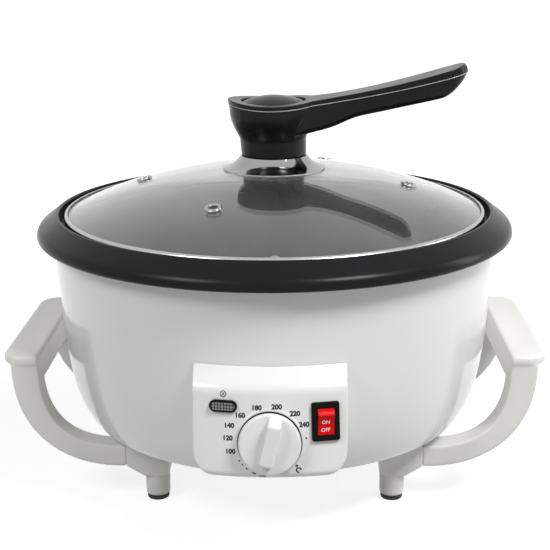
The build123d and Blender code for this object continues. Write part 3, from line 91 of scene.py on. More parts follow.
# ---- The lid's handle ----
# Radius of the pale bead along the handle's seam, which is a painted highlight
BEAD_RADIUS = 0.28 * MM
TIP_LENGTH = 16.0 * MM
TIP_RISE = 0.25  # how steeply the handle climbs at its tip
TIP_BACK, TIP_UP = 0.3, 0.4  # how far the lower half's tip is drawn back and up, for its depth
NOSE_HEIGHT = 5.5 * MM
NOSE_ROUNDING = 2.0 * MM
CUP_FOOT = 7.0 * MM
CUP_MOUTH = 2 * MM  # the belly ends this far under the cap
CUP_BELLY = 1.8 * MM
CUP_CORE = 16.0 * MM  # what lies nearer the axis keeps its place
CUP_SIDE, CUP_BLEND = 20.0 * MM, 14.0 * MM  # where the belly ends under the beam, and over what run
CAP_EDGE = 1.2 * MM
CAP_RINGS = 12
CAP_CENTRE = 0.02 * MM
SEAM_END = 12.0 * MM  # the seam turns round the tip this far from its end
SEAM_DROP = 8.0 * MM  # the seam lies no lower than this under the cap
SEAM_FACING = 0.75  # upward lean of the faces inside the seam
SEAM_CREASE = 0.9  # least angle at the seam, in radians

# ---- The dial's base ring, black as painted shade for the gap round the knob: (radius, height) in mm ----
SHADOW_RING_SECTION = ((6.4, 0.35), (17.15, 0.35), (17.15, 1.35), (6.4, 1.35))
SHADOW_RING_ROUNDING = 0.25 * MM

# ---- Mesh fineness ----
ARC_STEPS = 5
SHARP_ANGLE = radians(32)
TURNED_MERGE = 1e-7
SKIN_MERGE = 2e-6
PRINT_MERGE = 1e-6
RELAX_SHARE = 0.5
BODY_RINGS, BODY_CROWDING = 22, 1.6  # rings up the shell, closer together at its foot
GLASS_RINGS = 24
SMALL_STEPS, EYELET_STEPS, HOOP_STEPS = 96, 40, 32  # faces around the small turned pieces
COVER_DETAIL, SHELL_DETAIL = 0.55, 0.7  # shares of the mouldings' mesh size
LEG_DETAIL, HOUSING_DETAIL = 0.75, 0.6
DIAL_VOXEL = 0.32 * MM

# ---- Stage ----
FLOOR_SIZE = 40.0
CARD_SHARE = 0.42  # how much of the floor's colour its card has
GLOW_START, GLOW_END = 0.22, 0.75  # metres from the roaster over which the floor turns white
CAMERA_TARGET = (0.00004, 0, 0.12703)
LAMP_AIM = (0, 0, 0.10)
# (name, place, width, height, watts)
LAMPS = (
    ("key_softbox", (0.75, -0.7, 1.38), 0.5, 0.45, 21.5),
    ("fill_softbox", (-0.9, -0.9, 1.2), 0.5, 0.5, 10.0),
    ("side_softbox", (1.35, 0.2, 0.5), 0.3, 0.8, 4.0),
)


def body_radius(z):
    """Outside radius of the body at a height."""
    tuck = BODY_TUCK * exp((BODY_LOW.z - z) / BODY_TUCK_HEIGHT)
    return BODY_TOP_RADIUS - BODY_DRAFT * (BODY_HIGH.z - z) - tuck


def glass_z(radius):
    """Height of the glass dome's top surface at a radius."""
    return GLASS_HIGH.z - sqrt(GLASS_DOME**2 - GLASS_HOLE**2) + sqrt(GLASS_DOME**2 - radius**2)


def face_place(x, z):
    """Matrix of a spot on the control face: local X to the right, Y up the face, Z outward."""
    radius = body_radius(PANEL_CREASE_Z) + PANEL_PROUD + (PANEL_CREASE_Z - z) * tan(PANEL_LEAN)
    turn = asin(x / radius)
    across = Vector((cos(turn), sin(turn), 0))
    out = Vector((cos(PANEL_LEAN) * sin(turn), -cos(PANEL_LEAN) * cos(turn), sin(PANEL_LEAN)))
    up = out.cross(across)
    spot = Vector((x, -radius * cos(turn), z))
    return Matrix.Translation(spot) @ Matrix((across, up, out)).transposed().to_4x4()


# ---- Mesh helpers ----
def mark_sharp(bm, angle=SHARP_ANGLE):
    for face in bm.faces:
        face.smooth = True
    for edge in bm.edges:
        edge.smooth = len(edge.link_faces) == 2 and edge.calc_face_angle(0) < angle


def piece_from(bm, name, body, material, replaced=()):
    """Turns a bmesh into a finished piece that rides on a body."""
    mesh = bpy.data.meshes.new(name)
    bm.to_mesh(mesh)
    bm.free()
    piece = bpy.data.objects.new(name, mesh)
    bpy.context.scene.collection.objects.link(piece)
    mesh.materials.append(material)
    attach(piece, body)
    if replaced:
        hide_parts(*replaced)


def section_edges(bm, corners):
    """Closed section in the XZ plane from (radius, height, rounding) corners, as loose edges."""
    points = [Vector((corner[0], 0, corner[1])) for corner in corners]
    verts = [bm.verts.new(point) for point in points]
    bm.faces.new(verts)
    count = len(corners)
    for i, corner in enumerate(corners):
        if len(corner) < 3:
            continue
        turn = (points[i] - points[i - 1]).angle(points[(i + 1) % count] - points[i])
        bmesh.ops.bevel(
            bm,
            geom=[verts[i]],
            offset=corner[2] * tan(turn / 2),
            offset_type="OFFSET",
            segments=ARC_STEPS,
            profile=0.5,
            affect="VERTICES",
            material=-1,
        )
    bmesh.ops.delete(bm, geom=bm.faces[:], context="FACES_ONLY")
    return bm.verts[:] + bm.edges[:]


def turned(corners, steps):
    """Closed solid of revolution about Z."""
    bm = bmesh.new()
    geom = section_edges(bm, corners)
    bmesh.ops.spin(
        bm,
        geom=geom,
        cent=(0, 0, 0),
        axis=(0, 0, 1),
        dvec=(0, 0, 0),
        angle=2 * pi,
        steps=steps,
        use_merge=True,
    )
    bmesh.ops.remove_doubles(bm, verts=bm.verts[:], dist=TURNED_MERGE)
    bmesh.ops.recalc_face_normals(bm, faces=bm.faces[:])
    mark_sharp(bm)
    return bm


def merged_copy(node):
    """A CAD node's mesh with its loose triangles joined into one skin."""
    bm = bmesh.new()
    bm.from_mesh(NODES[node].data)
    bmesh.ops.remove_doubles(bm, verts=bm.verts[:], dist=SKIN_MERGE)
    bmesh.ops.recalc_face_normals(bm, faces=bm.faces[:])
    return bm


def softened(node, name, voxel, passes, trim=None):
    """A moulding with softened edges: the CAD form, remeshed finely and relaxed."""
    bm = merged_copy(node)
    if trim:
        trim(bm)
    mesh = bpy.data.meshes.new(name)
    bm.to_mesh(mesh)
    bm.free()
    draft = bpy.data.objects.new(name + "_draft", mesh)
    bpy.context.scene.collection.objects.link(draft)
    remesh = draft.modifiers.new("even_mesh", "REMESH")
    remesh.mode = "VOXEL"
    remesh.voxel_size = voxel
    relax = draft.modifiers.new("relaxed", "SMOOTH")
    relax.factor = RELAX_SHARE
    relax.iterations = passes
    bpy.context.view_layer.update()
    depsgraph = bpy.context.evaluated_depsgraph_get()
    result = bpy.data.meshes.new_from_object(draft.evaluated_get(depsgraph))
    bm = bmesh.new()
    bm.from_mesh(result)
    bpy.data.objects.remove(draft)
    bpy.data.meshes.remove(mesh)
    bpy.data.meshes.remove(result)
    mark_sharp(bm, pi)
    return bm


# ---- Prints ----
# (figure, degrees clockwise from the top, share of the scale's radius)
SCALE_FIGURES = (
    ("100", 256.0, 1.01),
    ("120", 275.4, 1.05),
    ("140", 292.9, 1.09),
    ("160", 313.8, 1.01),
    ("180", 341.0, 0.955),
    ("200", 11.0, 0.945),
    ("220", 40.2, 0.98),
    ("240", 62.0, 0.975),
)
# (degrees, share of the scale's radius, length and width in mm)
SCALE_MARKS = (
    (83.6, 0.92, 0.9, 0.9),
    (207.0, 0.885, 2.0, 0.9),
    (221.0, 0.89, 1.2, 0.8),
    (230.0, 0.9, 1.0, 0.8),
    (238.0, 0.905, 0.9, 0.9),
)
# (degrees, distance from the dial's axis, height)
OFF_MARK = (192.0, 18.9 * MM, 1.5 * MM)
UNIT_MARK = (134.4, 20.4 * MM, 2.8 * MM)
UNIT_TURN = -42.0
LAMP_MARK_RISE = 6.4 * MM
LAMP_CIRCLE = (1.55 * MM, 0.38 * MM)
LAMP_STROKE = (2.5 * MM, 0.36 * MM)
ROCKER_WORDS = (("ON", -0.3), ("OFF", 4.1))  # (word, drop below the switch's middle in mm)
ROCKER_WORD_HEIGHT = 2.0 * MM
ROCKER_WORD_WEIGHT = 0.01
ROCKER_WORD_SHIFT = 0.2 * MM
PRINT_DEPTH = 0.05 * MM
PRINT_LIFT = 0.6  # share of its depth by which a print's middle stands off the face
FONT_CAPITALS = 0.72  # height of the font's capitals for a size of 1
BAR_ROUNDING = 0.3  # share of a bar's width
RAY_START = -0.3  # Y from which a mark is aimed at the controls
RAY_REACH = 0.02  # how far above the face each point is dropped from


def words(text, height, weight=0.075):
    """Flat lettering of a given height, centred, with a little thickness."""
    curve = bpy.data.curves.new("lettering", "FONT")
    curve.body = text
    curve.size = height / FONT_CAPITALS
    curve.offset = height * weight
    curve.extrude = PRINT_DEPTH / 2
    curve.resolution_u = 4
    label = bpy.data.objects.new("lettering", curve)
    bpy.context.scene.collection.objects.link(label)
    bpy.context.view_layer.update()
    mesh = bpy.data.meshes.new_from_object(label.evaluated_get(bpy.context.evaluated_depsgraph_get()))
    bpy.data.objects.remove(label)
    bpy.data.curves.remove(curve)
    bm = bmesh.new()
    bm.from_mesh(mesh)
    bpy.data.meshes.remove(mesh)
    bmesh.ops.remove_doubles(bm, verts=bm.verts[:], dist=PRINT_MERGE)
    low = Vector([min(vert.co[axis] for vert in bm.verts) for axis in range(3)])
    high = Vector([max(vert.co[axis] for vert in bm.verts) for axis in range(3)])
    bmesh.ops.translate(bm, vec=-(low + high) / 2, verts=bm.verts[:])
    return bm


def bar(length, width):
    """Small printed bar or dot."""
    bm = bmesh.new()
    bmesh.ops.create_cube(bm, size=1.0)
    bmesh.ops.scale(bm, vec=(length, width, PRINT_DEPTH), verts=bm.verts[:])
    upright = [
        edge for edge in bm.edges if abs(edge.verts[0].co.z - edge.verts[1].co.z) > PRINT_DEPTH / 2
    ]
    bmesh.ops.bevel(
        bm,
        geom=upright,
        offset=width * BAR_ROUNDING,
        segments=3,
        profile=0.5,
        affect="EDGES",
        material=-1,
    )
    return bm


def hoop(radius, width):
    """Small printed circle."""
    half, thin = width / 2, PRINT_DEPTH / 2
    corners = [(radius - half, -thin), (radius + half, -thin), (radius + half, thin), (radius - half, thin)]
    return turned(corners, HOOP_STEPS)


def add_print(bm, mark, spot, face, out, turn=0.0):
    """Lays a flat mark on a curved face at (x, z), along the face's outward direction."""
    across = Vector((-out.y, out.x, 0)).normalized()
    up = out.cross(across)
    centre = face.ray_cast(Vector((spot[0], RAY_START, spot[1])), Vector((0, 1, 0)))[0]
    spin = Matrix.Rotation(radians(turn), 3, "Z")
    for vert in mark.verts:
        flat = spin @ vert.co
        above = centre + across * flat.x + up * flat.y + out * RAY_REACH
        vert.co = face.ray_cast(above, -out)[0] + out * (flat.z + PRINT_DEPTH * PRINT_LIFT)
    bmesh.ops.recalc_face_normals(mark, faces=mark.faces[:])
    mesh = bpy.data.meshes.new("mark")
    mark.to_mesh(mesh)
    mark.free()
    bm.from_mesh(mesh)
    bpy.data.meshes.remove(mesh)


def dial_spot(angle, radius):
    """(x, z) of a mark round the dial, its angle clockwise from the top."""
    return radius * sin(radians(angle)), DIAL_Z + radius * cos(radians(angle)) * cos(PANEL_LEAN)


# ---- Material helpers ----
WAVE_RADIANS = 20  # the wave texture's turn over one unit, at a scale of 1


def new_material(name, colour, roughness, metallic=0.0, **sockets):
    """Principled material; extra sockets are given as Coat_Weight=0.4 and so on."""
    material = bpy.data.materials.new(name)
    material.use_nodes = True
    shader = material.node_tree.nodes["Principled BSDF"]
    shader.inputs["Base Color"].default_value = (*colour, 1)
    shader.inputs["Roughness"].default_value = roughness
    shader.inputs["Metallic"].default_value = metallic
    for socket, value in sockets.items():
        shader.inputs[socket.replace("_", " ")].default_value = value
    return material


def add_node(material, kind, **settings):
    node = material.node_tree.nodes.new(kind)
    for key, value in settings.items():
        setattr(node, key, value)
    return node


def noise(material, scale, detail=3.0, stretch=(1, 1, 1)):
    """Noise on Object coordinates; scale is in features per metre."""
    tree = material.node_tree
    coords = add_node(material, "ShaderNodeTexCoord")
    mapping = add_node(material, "ShaderNodeMapping")
    mapping.inputs["Scale"].default_value = stretch
    texture = add_node(material, "ShaderNodeTexNoise")
    texture.inputs["Scale"].default_value = scale
    texture.inputs["Detail"].default_value = detail
    tree.links.new(coords.outputs["Object"], mapping.inputs["Vector"])
    tree.links.new(mapping.outputs["Vector"], texture.inputs["Vector"])
    return texture.outputs["Fac"]


def mapped(material, value, low, high, start=0.3, end=0.7):
    """Spreads a noise value over a range."""
    node = add_node(material, "ShaderNodeMapRange")
    node.inputs["From Min"].default_value = start
    node.inputs["From Max"].default_value = end
    node.inputs["To Min"].default_value = low
    node.inputs["To Max"].default_value = high
    material.node_tree.links.new(value, node.inputs["Value"])
    return node.outputs["Result"]


def vary_colour(material, value, first, second):
    node = add_node(material, "ShaderNodeMix", data_type="RGBA")
    node.inputs["A"].default_value = (*first, 1)
    node.inputs["B"].default_value = (*second, 1)
    tree = material.node_tree
    tree.links.new(value, node.inputs["Factor"])
    tree.links.new(node.outputs["Result"], tree.nodes["Principled BSDF"].inputs["Base Color"])


def vary_roughness(material, value):
    tree = material.node_tree
    tree.links.new(value, tree.nodes["Principled BSDF"].inputs["Roughness"])


def bump(material, height, distance, strength):
    node = add_node(material, "ShaderNodeBump")
    node.inputs["Distance"].default_value = distance
    node.inputs["Strength"].default_value = strength
    tree = material.node_tree
    tree.links.new(height, node.inputs["Height"])
    tree.links.new(node.outputs["Normal"], tree.nodes["Principled BSDF"].inputs["Normal"])


def seen_by(tree, path):
    """1 for rays from the camera, off metal or through glass."""
    value = path.outputs["Is Camera Ray"]
    for kind in ("Is Glossy Ray", "Is Transmission Ray"):
        either = tree.nodes.new("ShaderNodeMath")
        either.operation = "MAXIMUM"
        tree.links.new(value, either.inputs[0])
        tree.links.new(path.outputs[kind], either.inputs[1])
        value = either.outputs["Value"]
    return value


def shaded(colour, share):
    return tuple(channel * share for channel in colour)


def baked_paint(colour):
    """Glossy stoved enamel with a trace of orange peel."""
    material = new_material("baked_paint", colour, 0.22, Coat_Weight=0.5, Coat_Roughness=0.06)
    vary_colour(material, mapped(material, noise(material, 9), 0, 1), colour, shaded(colour, 0.975))
    vary_roughness(material, mapped(material, noise(material, 60), 0.18, 0.27))
    bump(material, noise(material, 420, 2), 0.00006, 0.25)
    return material


def moulded_plastic(name, colour, roughness, grain=0.00005, scale=1500, spread=0.03, sheen=0.5):
    """Injection-moulded plastic: fine spark texture, uneven gloss and a hint of flow shade."""
    material = new_material(name, colour, roughness, Specular_IOR_Level=sheen)
    shade = mapped(material, noise(material, 25), 0, 1, 0.2, 0.8)
    vary_colour(material, shade, colour, shaded(colour, 0.97))
    gloss = mapped(material, noise(material, 60), roughness - spread, roughness + spread, 0.2, 0.8)
    vary_roughness(material, gloss)
    bump(material, noise(material, scale, 2), grain, 0.4)
    return material


def lens_grid(name, colour, pitch):
    """Moulded lens: rows of pips between grooves, with the pips painted pale as highlights and the grooves
    dark as painted shade.
    """
    material = moulded_plastic(name, colour, 0.16, 0.00001, 600, sheen=0.2)
    tree = material.node_tree
    coords = add_node(material, "ShaderNodeTexCoord")
    pips = None
    for direction in ("X", "Z"):
        wave = add_node(material, "ShaderNodeTexWave", wave_type="BANDS", bands_direction=direction)
        wave.inputs["Scale"].default_value = 2 * pi / WAVE_RADIANS / pitch
        tree.links.new(coords.outputs["Object"], wave.inputs["Vector"])
        if pips is None:
            pips = wave.outputs["Fac"]
        else:
            product = add_node(material, "ShaderNodeMath", operation="MULTIPLY")
            tree.links.new(pips, product.inputs[0])
            tree.links.new(wave.outputs["Fac"], product.inputs[1])
            pips = product.outputs["Value"]
    # Painted highlight on the pips and painted shade in the grooves
    vary_colour(material, mapped(material, pips, 0, 1, 0.05, 0.5), shaded(colour, 0.12), colour)
    bump(material, pips, 0.0002, 0.6)
    return material


def metal(name, colour, low, high, stretch=(1, 1, 1), scale=300, grain=0.00002):
    """Bare metal with drawn or turned marks along the stretch."""
    material = new_material(name, colour, (low + high) / 2, 1.0)
    marks = noise(material, scale, 4, stretch)
    vary_roughness(material, mapped(material, marks, low, high))
    vary_colour(material, mapped(material, noise(material, 40), 0, 1), colour, shaded(colour, 0.9))
    bump(material, marks, grain, 0.3)
    return material


def coated_metal(colour):
    """Non-stick coating: near black, with pale flecks and a soft sheen."""
    material = new_material("non_stick_coating", colour, 0.42)
    flecks = mapped(material, noise(material, 2600, 1), 0, 1, 0.68, 0.74)
    vary_colour(material, flecks, colour, (0.22, 0.22, 0.22))
    vary_roughness(material, mapped(material, noise(material, 70), 0.36, 0.5))
    bump(material, noise(material, 1800, 2), 0.00004, 0.3)
    return material


def rubber(name, colour):
    material = new_material(name, colour, 0.75)
    vary_colour(material, mapped(material, noise(material, 200), 0, 1), colour, shaded(colour, 1.7))
    bump(material, noise(material, 1800, 3), 0.00008, 0.6)
    return material


def clear_glass(name, tint, mist):
    """Clear glass that lets lamps through, with a breath of mist on it."""
    material = new_material(name, tint, 0.0, IOR=1.5, Transmission_Weight=1.0)
    tree = material.node_tree
    glass = tree.nodes["Principled BSDF"]
    output = tree.nodes["Material Output"]
    haze = add_node(material, "ShaderNodeBsdfDiffuse")
    haze.inputs["Color"].default_value = (0.9, 0.9, 0.9, 1)
    clear = add_node(material, "ShaderNodeBsdfTransparent")
    clear.inputs["Color"].default_value = (*tint, 1)
    misted = add_node(material, "ShaderNodeMixShader")
    shadowed = add_node(material, "ShaderNodeMixShader")
    path = add_node(material, "ShaderNodeLightPath")
    patches = mapped(material, noise(material, 14, 4), 0.0, mist, 0.35, 0.7)
    tree.links.new(patches, misted.inputs["Fac"])
    tree.links.new(glass.outputs["BSDF"], misted.inputs[1])
    tree.links.new(haze.outputs["BSDF"], misted.inputs[2])
    tree.links.new(path.outputs["Is Shadow Ray"], shadowed.inputs["Fac"])
    tree.links.new(misted.outputs["Shader"], shadowed.inputs[1])
    tree.links.new(clear.outputs["BSDF"], shadowed.inputs[2])
    tree.links.new(shadowed.outputs["Shader"], output.inputs["Surface"])
    vary_roughness(material, mapped(material, noise(material, 30), 0.0, 0.03))
    return material


# ---- Settings a user would change ----
class BodySettings(bpy.types.PropertyGroup):
    paint: FloatVectorProperty(
        name="Paint",
        description="Colour of the painted body",
        subtype="COLOR",
        default=(0.80, 0.80, 0.79),
    )
    rim: FloatVectorProperty(
        name="Rim", description="Colour of the rim ring", subtype="COLOR", default=(0.008, 0.008, 0.009)
    )
    coating: FloatVectorProperty(
        name="Coating",
        description="Colour inside the pan",
        subtype="COLOR",
        default=(0.022, 0.022, 0.023),
    )
    handles: FloatVectorProperty(
        name="Handles",
        description="Colour of side handles and legs",
        subtype="COLOR",
        default=(0.82, 0.81, 0.78),
    )
    steps: IntProperty(name="Steps", description="Faces around a large turned piece", default=192, min=48)
    voxel: FloatProperty(
        name="Detail",
        description="Mesh size of the mouldings",
        unit="LENGTH",
        default=0.8 * MM,
        precision=5,
    )


class LidSettings(bpy.types.PropertyGroup):
    glass: FloatVectorProperty(
        name="Glass", description="Tint of the glass", subtype="COLOR", default=(0.78, 0.82, 0.80)
    )
    mist: FloatProperty(name="Mist", description="Most that the glass is misted", default=0.03, min=0, max=1)
    chrome: FloatVectorProperty(
        name="Chrome",
        description="Colour of the plated pieces",
        subtype="COLOR",
        default=(0.38, 0.38, 0.37),
    )
    handle: FloatVectorProperty(
        name="Handle",
        description="Colour of the lid's handle",
        subtype="COLOR",
        default=(0.007, 0.007, 0.008),
    )
    # Pale bead colour: a painted highlight along the handle's seam, where its edge catches the light
    seam: FloatVectorProperty(
        name="Seam",
        description="Colour of the bead along the handle's seam",
        subtype="COLOR",
        default=(0.35, 0.35, 0.34),
    )


class ControlSettings(bpy.types.PropertyGroup):
    housing: FloatVectorProperty(
        name="Housing",
        description="Colour of the control box",
        subtype="COLOR",
        default=(0.76, 0.76, 0.75),
    )
    dial: FloatVectorProperty(
        name="Dial", description="Colour of the dial", subtype="COLOR", default=(0.77, 0.77, 0.75)
    )
    # Black of the ring under the dial: painted shade for the shadowed gap round the knob
    ring: FloatVectorProperty(
        name="Ring",
        description="Colour of the ring under the dial",
        subtype="COLOR",
        default=(0.006, 0.006, 0.006),
    )
    rocker: FloatVectorProperty(
        name="Rocker",
        description="Colour of the switch's rocker",
        subtype="COLOR",
        default=(0.7, 0.002, 0.003),
    )
    ink: FloatVectorProperty(
        name="Ink",
        description="Colour of the printed scale",
        subtype="COLOR",
        default=(0.006, 0.006, 0.007),
    )
    figure_size: FloatProperty(
        name="Figures",
        description="Height of the scale's figures",
        unit="LENGTH",
        default=2.6 * MM,
        precision=5,
    )
    scale_radius: FloatProperty(
        name="Scale radius",
        description="Dial's axis to its figures",
        unit="LENGTH",
        default=21.0 * MM,
        precision=5,
    )


class StageSettings(bpy.types.PropertyGroup):
    floor: FloatVectorProperty(
        name="Floor", description="Colour of the floor", subtype="COLOR", default=(0.96, 0.96, 0.96)
    )
    floor_glow: FloatProperty(
        name="Floor white",
        description="How much white the camera sees added to the floor",
        default=0.78,
        min=0,
    )
    ambient: FloatProperty(
        name="Ambient", description="Strength of the studio's even light", default=0.19, min=0
    )
    azimuth: FloatProperty(
        name="Azimuth",
        description="Camera's turn about the roaster",
        subtype="ANGLE",
        default=radians(1.328),
    )
    elevation: FloatProperty(
        name="Elevation", description="Camera's height angle", subtype="ANGLE", default=radians(15.797)
    )
    roll: FloatProperty(name="Roll", description="Camera's roll", subtype="ANGLE", default=radians(-0.479))
    distance: FloatProperty(
        name="Distance", description="Camera to its target", unit="LENGTH", default=0.75185, precision=4
    )
    lens: FloatProperty(name="Lens", description="Focal length in mm", default=77.36)


# ---- Operators ----
class ROASTER_OT_body(bpy.types.Operator):
    """Painted body shell"""

    bl_idname = "roaster.body"
    bl_label = "Body"

    def execute(self, context):
        settings = context.scene.roaster_body
        low, high = BODY_LOW.z, BODY_HIGH.z
        shares = [(i / BODY_RINGS) ** BODY_CROWDING for i in range(BODY_RINGS + 1)]
        heights = [low + (high - low) * share for share in shares]
        outer = [(body_radius(z), z) for z in heights]
        inner = [(body_radius(z) - SHELL_WALL, z) for z in reversed(heights)]
        bm = turned(outer + inner, settings.steps)
        piece_from(bm, "painted_shell", "housing", baked_paint(settings.paint), ["body_shell"])
        return {"FINISHED"}


class ROASTER_OT_rim(bpy.types.Operator):
    """Black rim ring that the lid and pan sit in"""

    bl_idname = "roaster.rim"
    bl_label = "Rim"

    def execute(self, context):
        settings = context.scene.roaster_body
        widest, crest = RIM_HIGH.x, RIM_HIGH.z
        ledge = crest - 9.2 * MM
        groove = widest - 14.2 * MM
        slot_z = ledge - 2.0 * MM
        low = slot_z - 3.3 * MM
        slot = groove + 0.8 * MM
        rib = slot + SHELL_WALL + 2 * SEAT_GAP
        wall = 2.6 * MM
        corners = [
            (groove, ledge, 0.6 * MM),
            (groove, crest, 1.0 * MM),
            (groove + 1.8 * MM, crest, 1.6 * MM),
            (widest - 1.0 * MM, crest - 8.6 * MM, 6.0 * MM),
            (widest, low, 2.2 * MM),
            (widest - wall - 0.4 * MM, low, 0.8 * MM),
            (widest - wall - 1.4 * MM, low + 4.6 * MM),
            (rib + 2.2 * MM, crest - 3.4 * MM - wall),
            (rib + 2.2 * MM, low),
            (rib, low),
            (rib, slot_z),
            (slot, slot_z),
            (slot - 0.8 * MM, slot_z - 6.0 * MM),
            (slot - 2.4 * MM, slot_z - 6.0 * MM),
            (slot - 2.4 * MM, ledge - 2.4 * MM),
            (PAN_HIGH.x - 4.4 * MM, ledge - 2.4 * MM),
            (PAN_HIGH.x - 4.4 * MM, ledge),
        ]
        material = moulded_plastic("rim_plastic", settings.rim, 0.27, 0.00005, 1300, 0.04, 0.11)
        bm = turned(corners, settings.steps)
        piece_from(bm, "rim_moulding", "housing", material, ["rim_ring"])
        return {"FINISHED"}


class ROASTER_OT_pan(bpy.types.Operator):
    """Coated pan with its centre tube"""

    bl_idname = "roaster.pan"
    bl_label = "Pan"

    def execute(self, context):
        settings = context.scene.roaster_body
        wall = 2.4 * MM
        floor = PAN_LOW.z + wall
        top = PAN_HIGH.z
        mouth = PAN_HIGH.x - 8.0 * MM
        foot = mouth - 4.0 * MM
        flange = top - 1.6 * MM
        tube = 11.0 * MM
        tube_top = BUSHING_HIGH.z - 1.2 * MM
        bore = 6.52 * MM
        corners = [
            (bore, PAN_LOW.z),
            (bore, tube_top),
            (tube, tube_top, 0.8 * MM),
            (tube, floor, 1.8 * MM),
            (foot, floor, 14.0 * MM),
            (mouth, top, 1.2 * MM),
            (PAN_HIGH.x, top, 0.5 * MM),
            (PAN_HIGH.x, flange, 0.5 * MM),
            (mouth + wall, flange),
            (foot + wall, PAN_LOW.z, 16.4 * MM),
        ]
        bm = turned(corners, settings.steps)
        piece_from(bm, "coated_pan", "housing", coated_metal(settings.coating), ["pan"])
        return {"FINISHED"}


class ROASTER_OT_lid(bpy.types.Operator):
    """Glass dome, its steel ring, the eyelets and the chrome flange"""

    bl_idname = "roaster.lid"
    bl_label = "Lid"

    def execute(self, context):
        settings = context.scene.roaster_lid
        steps = context.scene.roaster_body.steps
        chrome = metal("chrome_plate", settings.chrome, 0.03, 0.09, scale=160)
        self.glass(settings, steps)
        self.ring(steps)
        self.flange(chrome, steps)
        self.eyelets(chrome)
        return {"FINISHED"}

    def glass(self, settings, steps):
        edge = GLASS_HIGH.x
        radii = [GLASS_HOLE + (edge - GLASS_HOLE) * i / GLASS_RINGS for i in range(GLASS_RINGS + 1)]
        top = [(radius, glass_z(radius)) for radius in radii]
        under = [(radius, glass_z(radius) - GLASS_THICKNESS) for radius in reversed(radii)]
        bm = turned(top + under, steps)
        material = clear_glass("lid_glass_clear", settings.glass, settings.mist)
        piece_from(bm, "glass_dome", "lid", material, ["lid_glass"])

    def ring(self, steps):
        outer, low = RING_HIGH.x, RING_LOW.z
        sheet = 1.1 * MM
        inner = outer - 4.4 * MM
        lip = outer - 2.3 * MM
        bay = GLASS_HIGH.x + SEAT_GAP
        corners = [
            (inner, low, 0.3 * MM),
            (outer, low, 1.2 * MM),
            (outer, RING_HIGH.z - 0.9 * MM, 1.6 * MM),
            (lip, RING_HIGH.z, 0.4 * MM),
            (lip, RING_HIGH.z - sheet, 0.3 * MM),
            (bay, RING_HIGH.z - sheet - 1.0 * MM, 0.3 * MM),
            (bay, low + sheet, 0.6 * MM),
            (inner, low + sheet),
        ]
        steel = metal("spun_steel", (0.5, 0.5, 0.49), 0.14, 0.28, (1, 1, 12), 220)
        piece_from(turned(corners, steps), "steel_ring", "lid", steel, ["lid_ring"])

    def flange(self, chrome, steps):
        foot, low, top = FLANGE_HIGH.x, FLANGE_LOW.z, FLANGE_HIGH.z
        neck = 20.5 * MM
        sheet = 0.9 * MM
        bore = 2.8 * MM
        hollow = 1.15 * MM
        lean = 0.8
        count = 10
        bell = []
        for i in range(count + 1):
            share = i / count
            radius = foot + (neck - foot) * share
            sag = sin(pi * share) * hollow
            bell.append((radius - sag * lean, low + (top - low) * share - sag))
        under = [(radius - sheet * lean, z - sheet * lean) for radius, z in reversed(bell[1:])]
        corners = bell + [(bore, top), (bore, top - sheet)] + under + [(foot - sheet * 1.4, low)]
        piece_from(turned(corners, steps // 2), "chrome_flange", "lid", chrome, ["lid_flange"])

    def eyelets(self, chrome):
        bore, tube, flange = 2.6 * MM, 3.7 * MM, 5.0 * MM
        play, brim, crown = 0.15 * MM, 0.85 * MM, 1.5 * MM
        below = -GLASS_THICKNESS - play
        corners = [
            (bore, below - brim, 0.4 * MM),
            (flange, below - brim, 0.4 * MM),
            (flange, below),
            (tube, below),
            (tube, play),
            (flange, play),
            (flange, crown, 0.8 * MM),
            (bore, crown, 0.6 * MM),
        ]
        template = turned(corners, EYELET_STEPS)
        stamp = bpy.data.meshes.new("eyelet_stamp")
        template.to_mesh(stamp)
        template.free()
        bm = bmesh.new()
        lean = asin(EYELET_CIRCLE / GLASS_DOME)
        for angle in EYELET_ANGLES:
            before = len(bm.verts)
            bm.from_mesh(stamp)
            bm.verts.ensure_lookup_table()
            place = (
                Matrix.Rotation(radians(angle), 4, "Z")
                @ Matrix.Translation((EYELET_CIRCLE, 0, glass_z(EYELET_CIRCLE)))
                @ Matrix.Rotation(lean, 4, "Y")
            )
            bmesh.ops.transform(bm, matrix=place, verts=bm.verts[before:])
        bpy.data.meshes.remove(stamp)
        mark_sharp(bm)
        piece_from(bm, "steam_eyelets", "lid", chrome, ["lid_eyelets"])


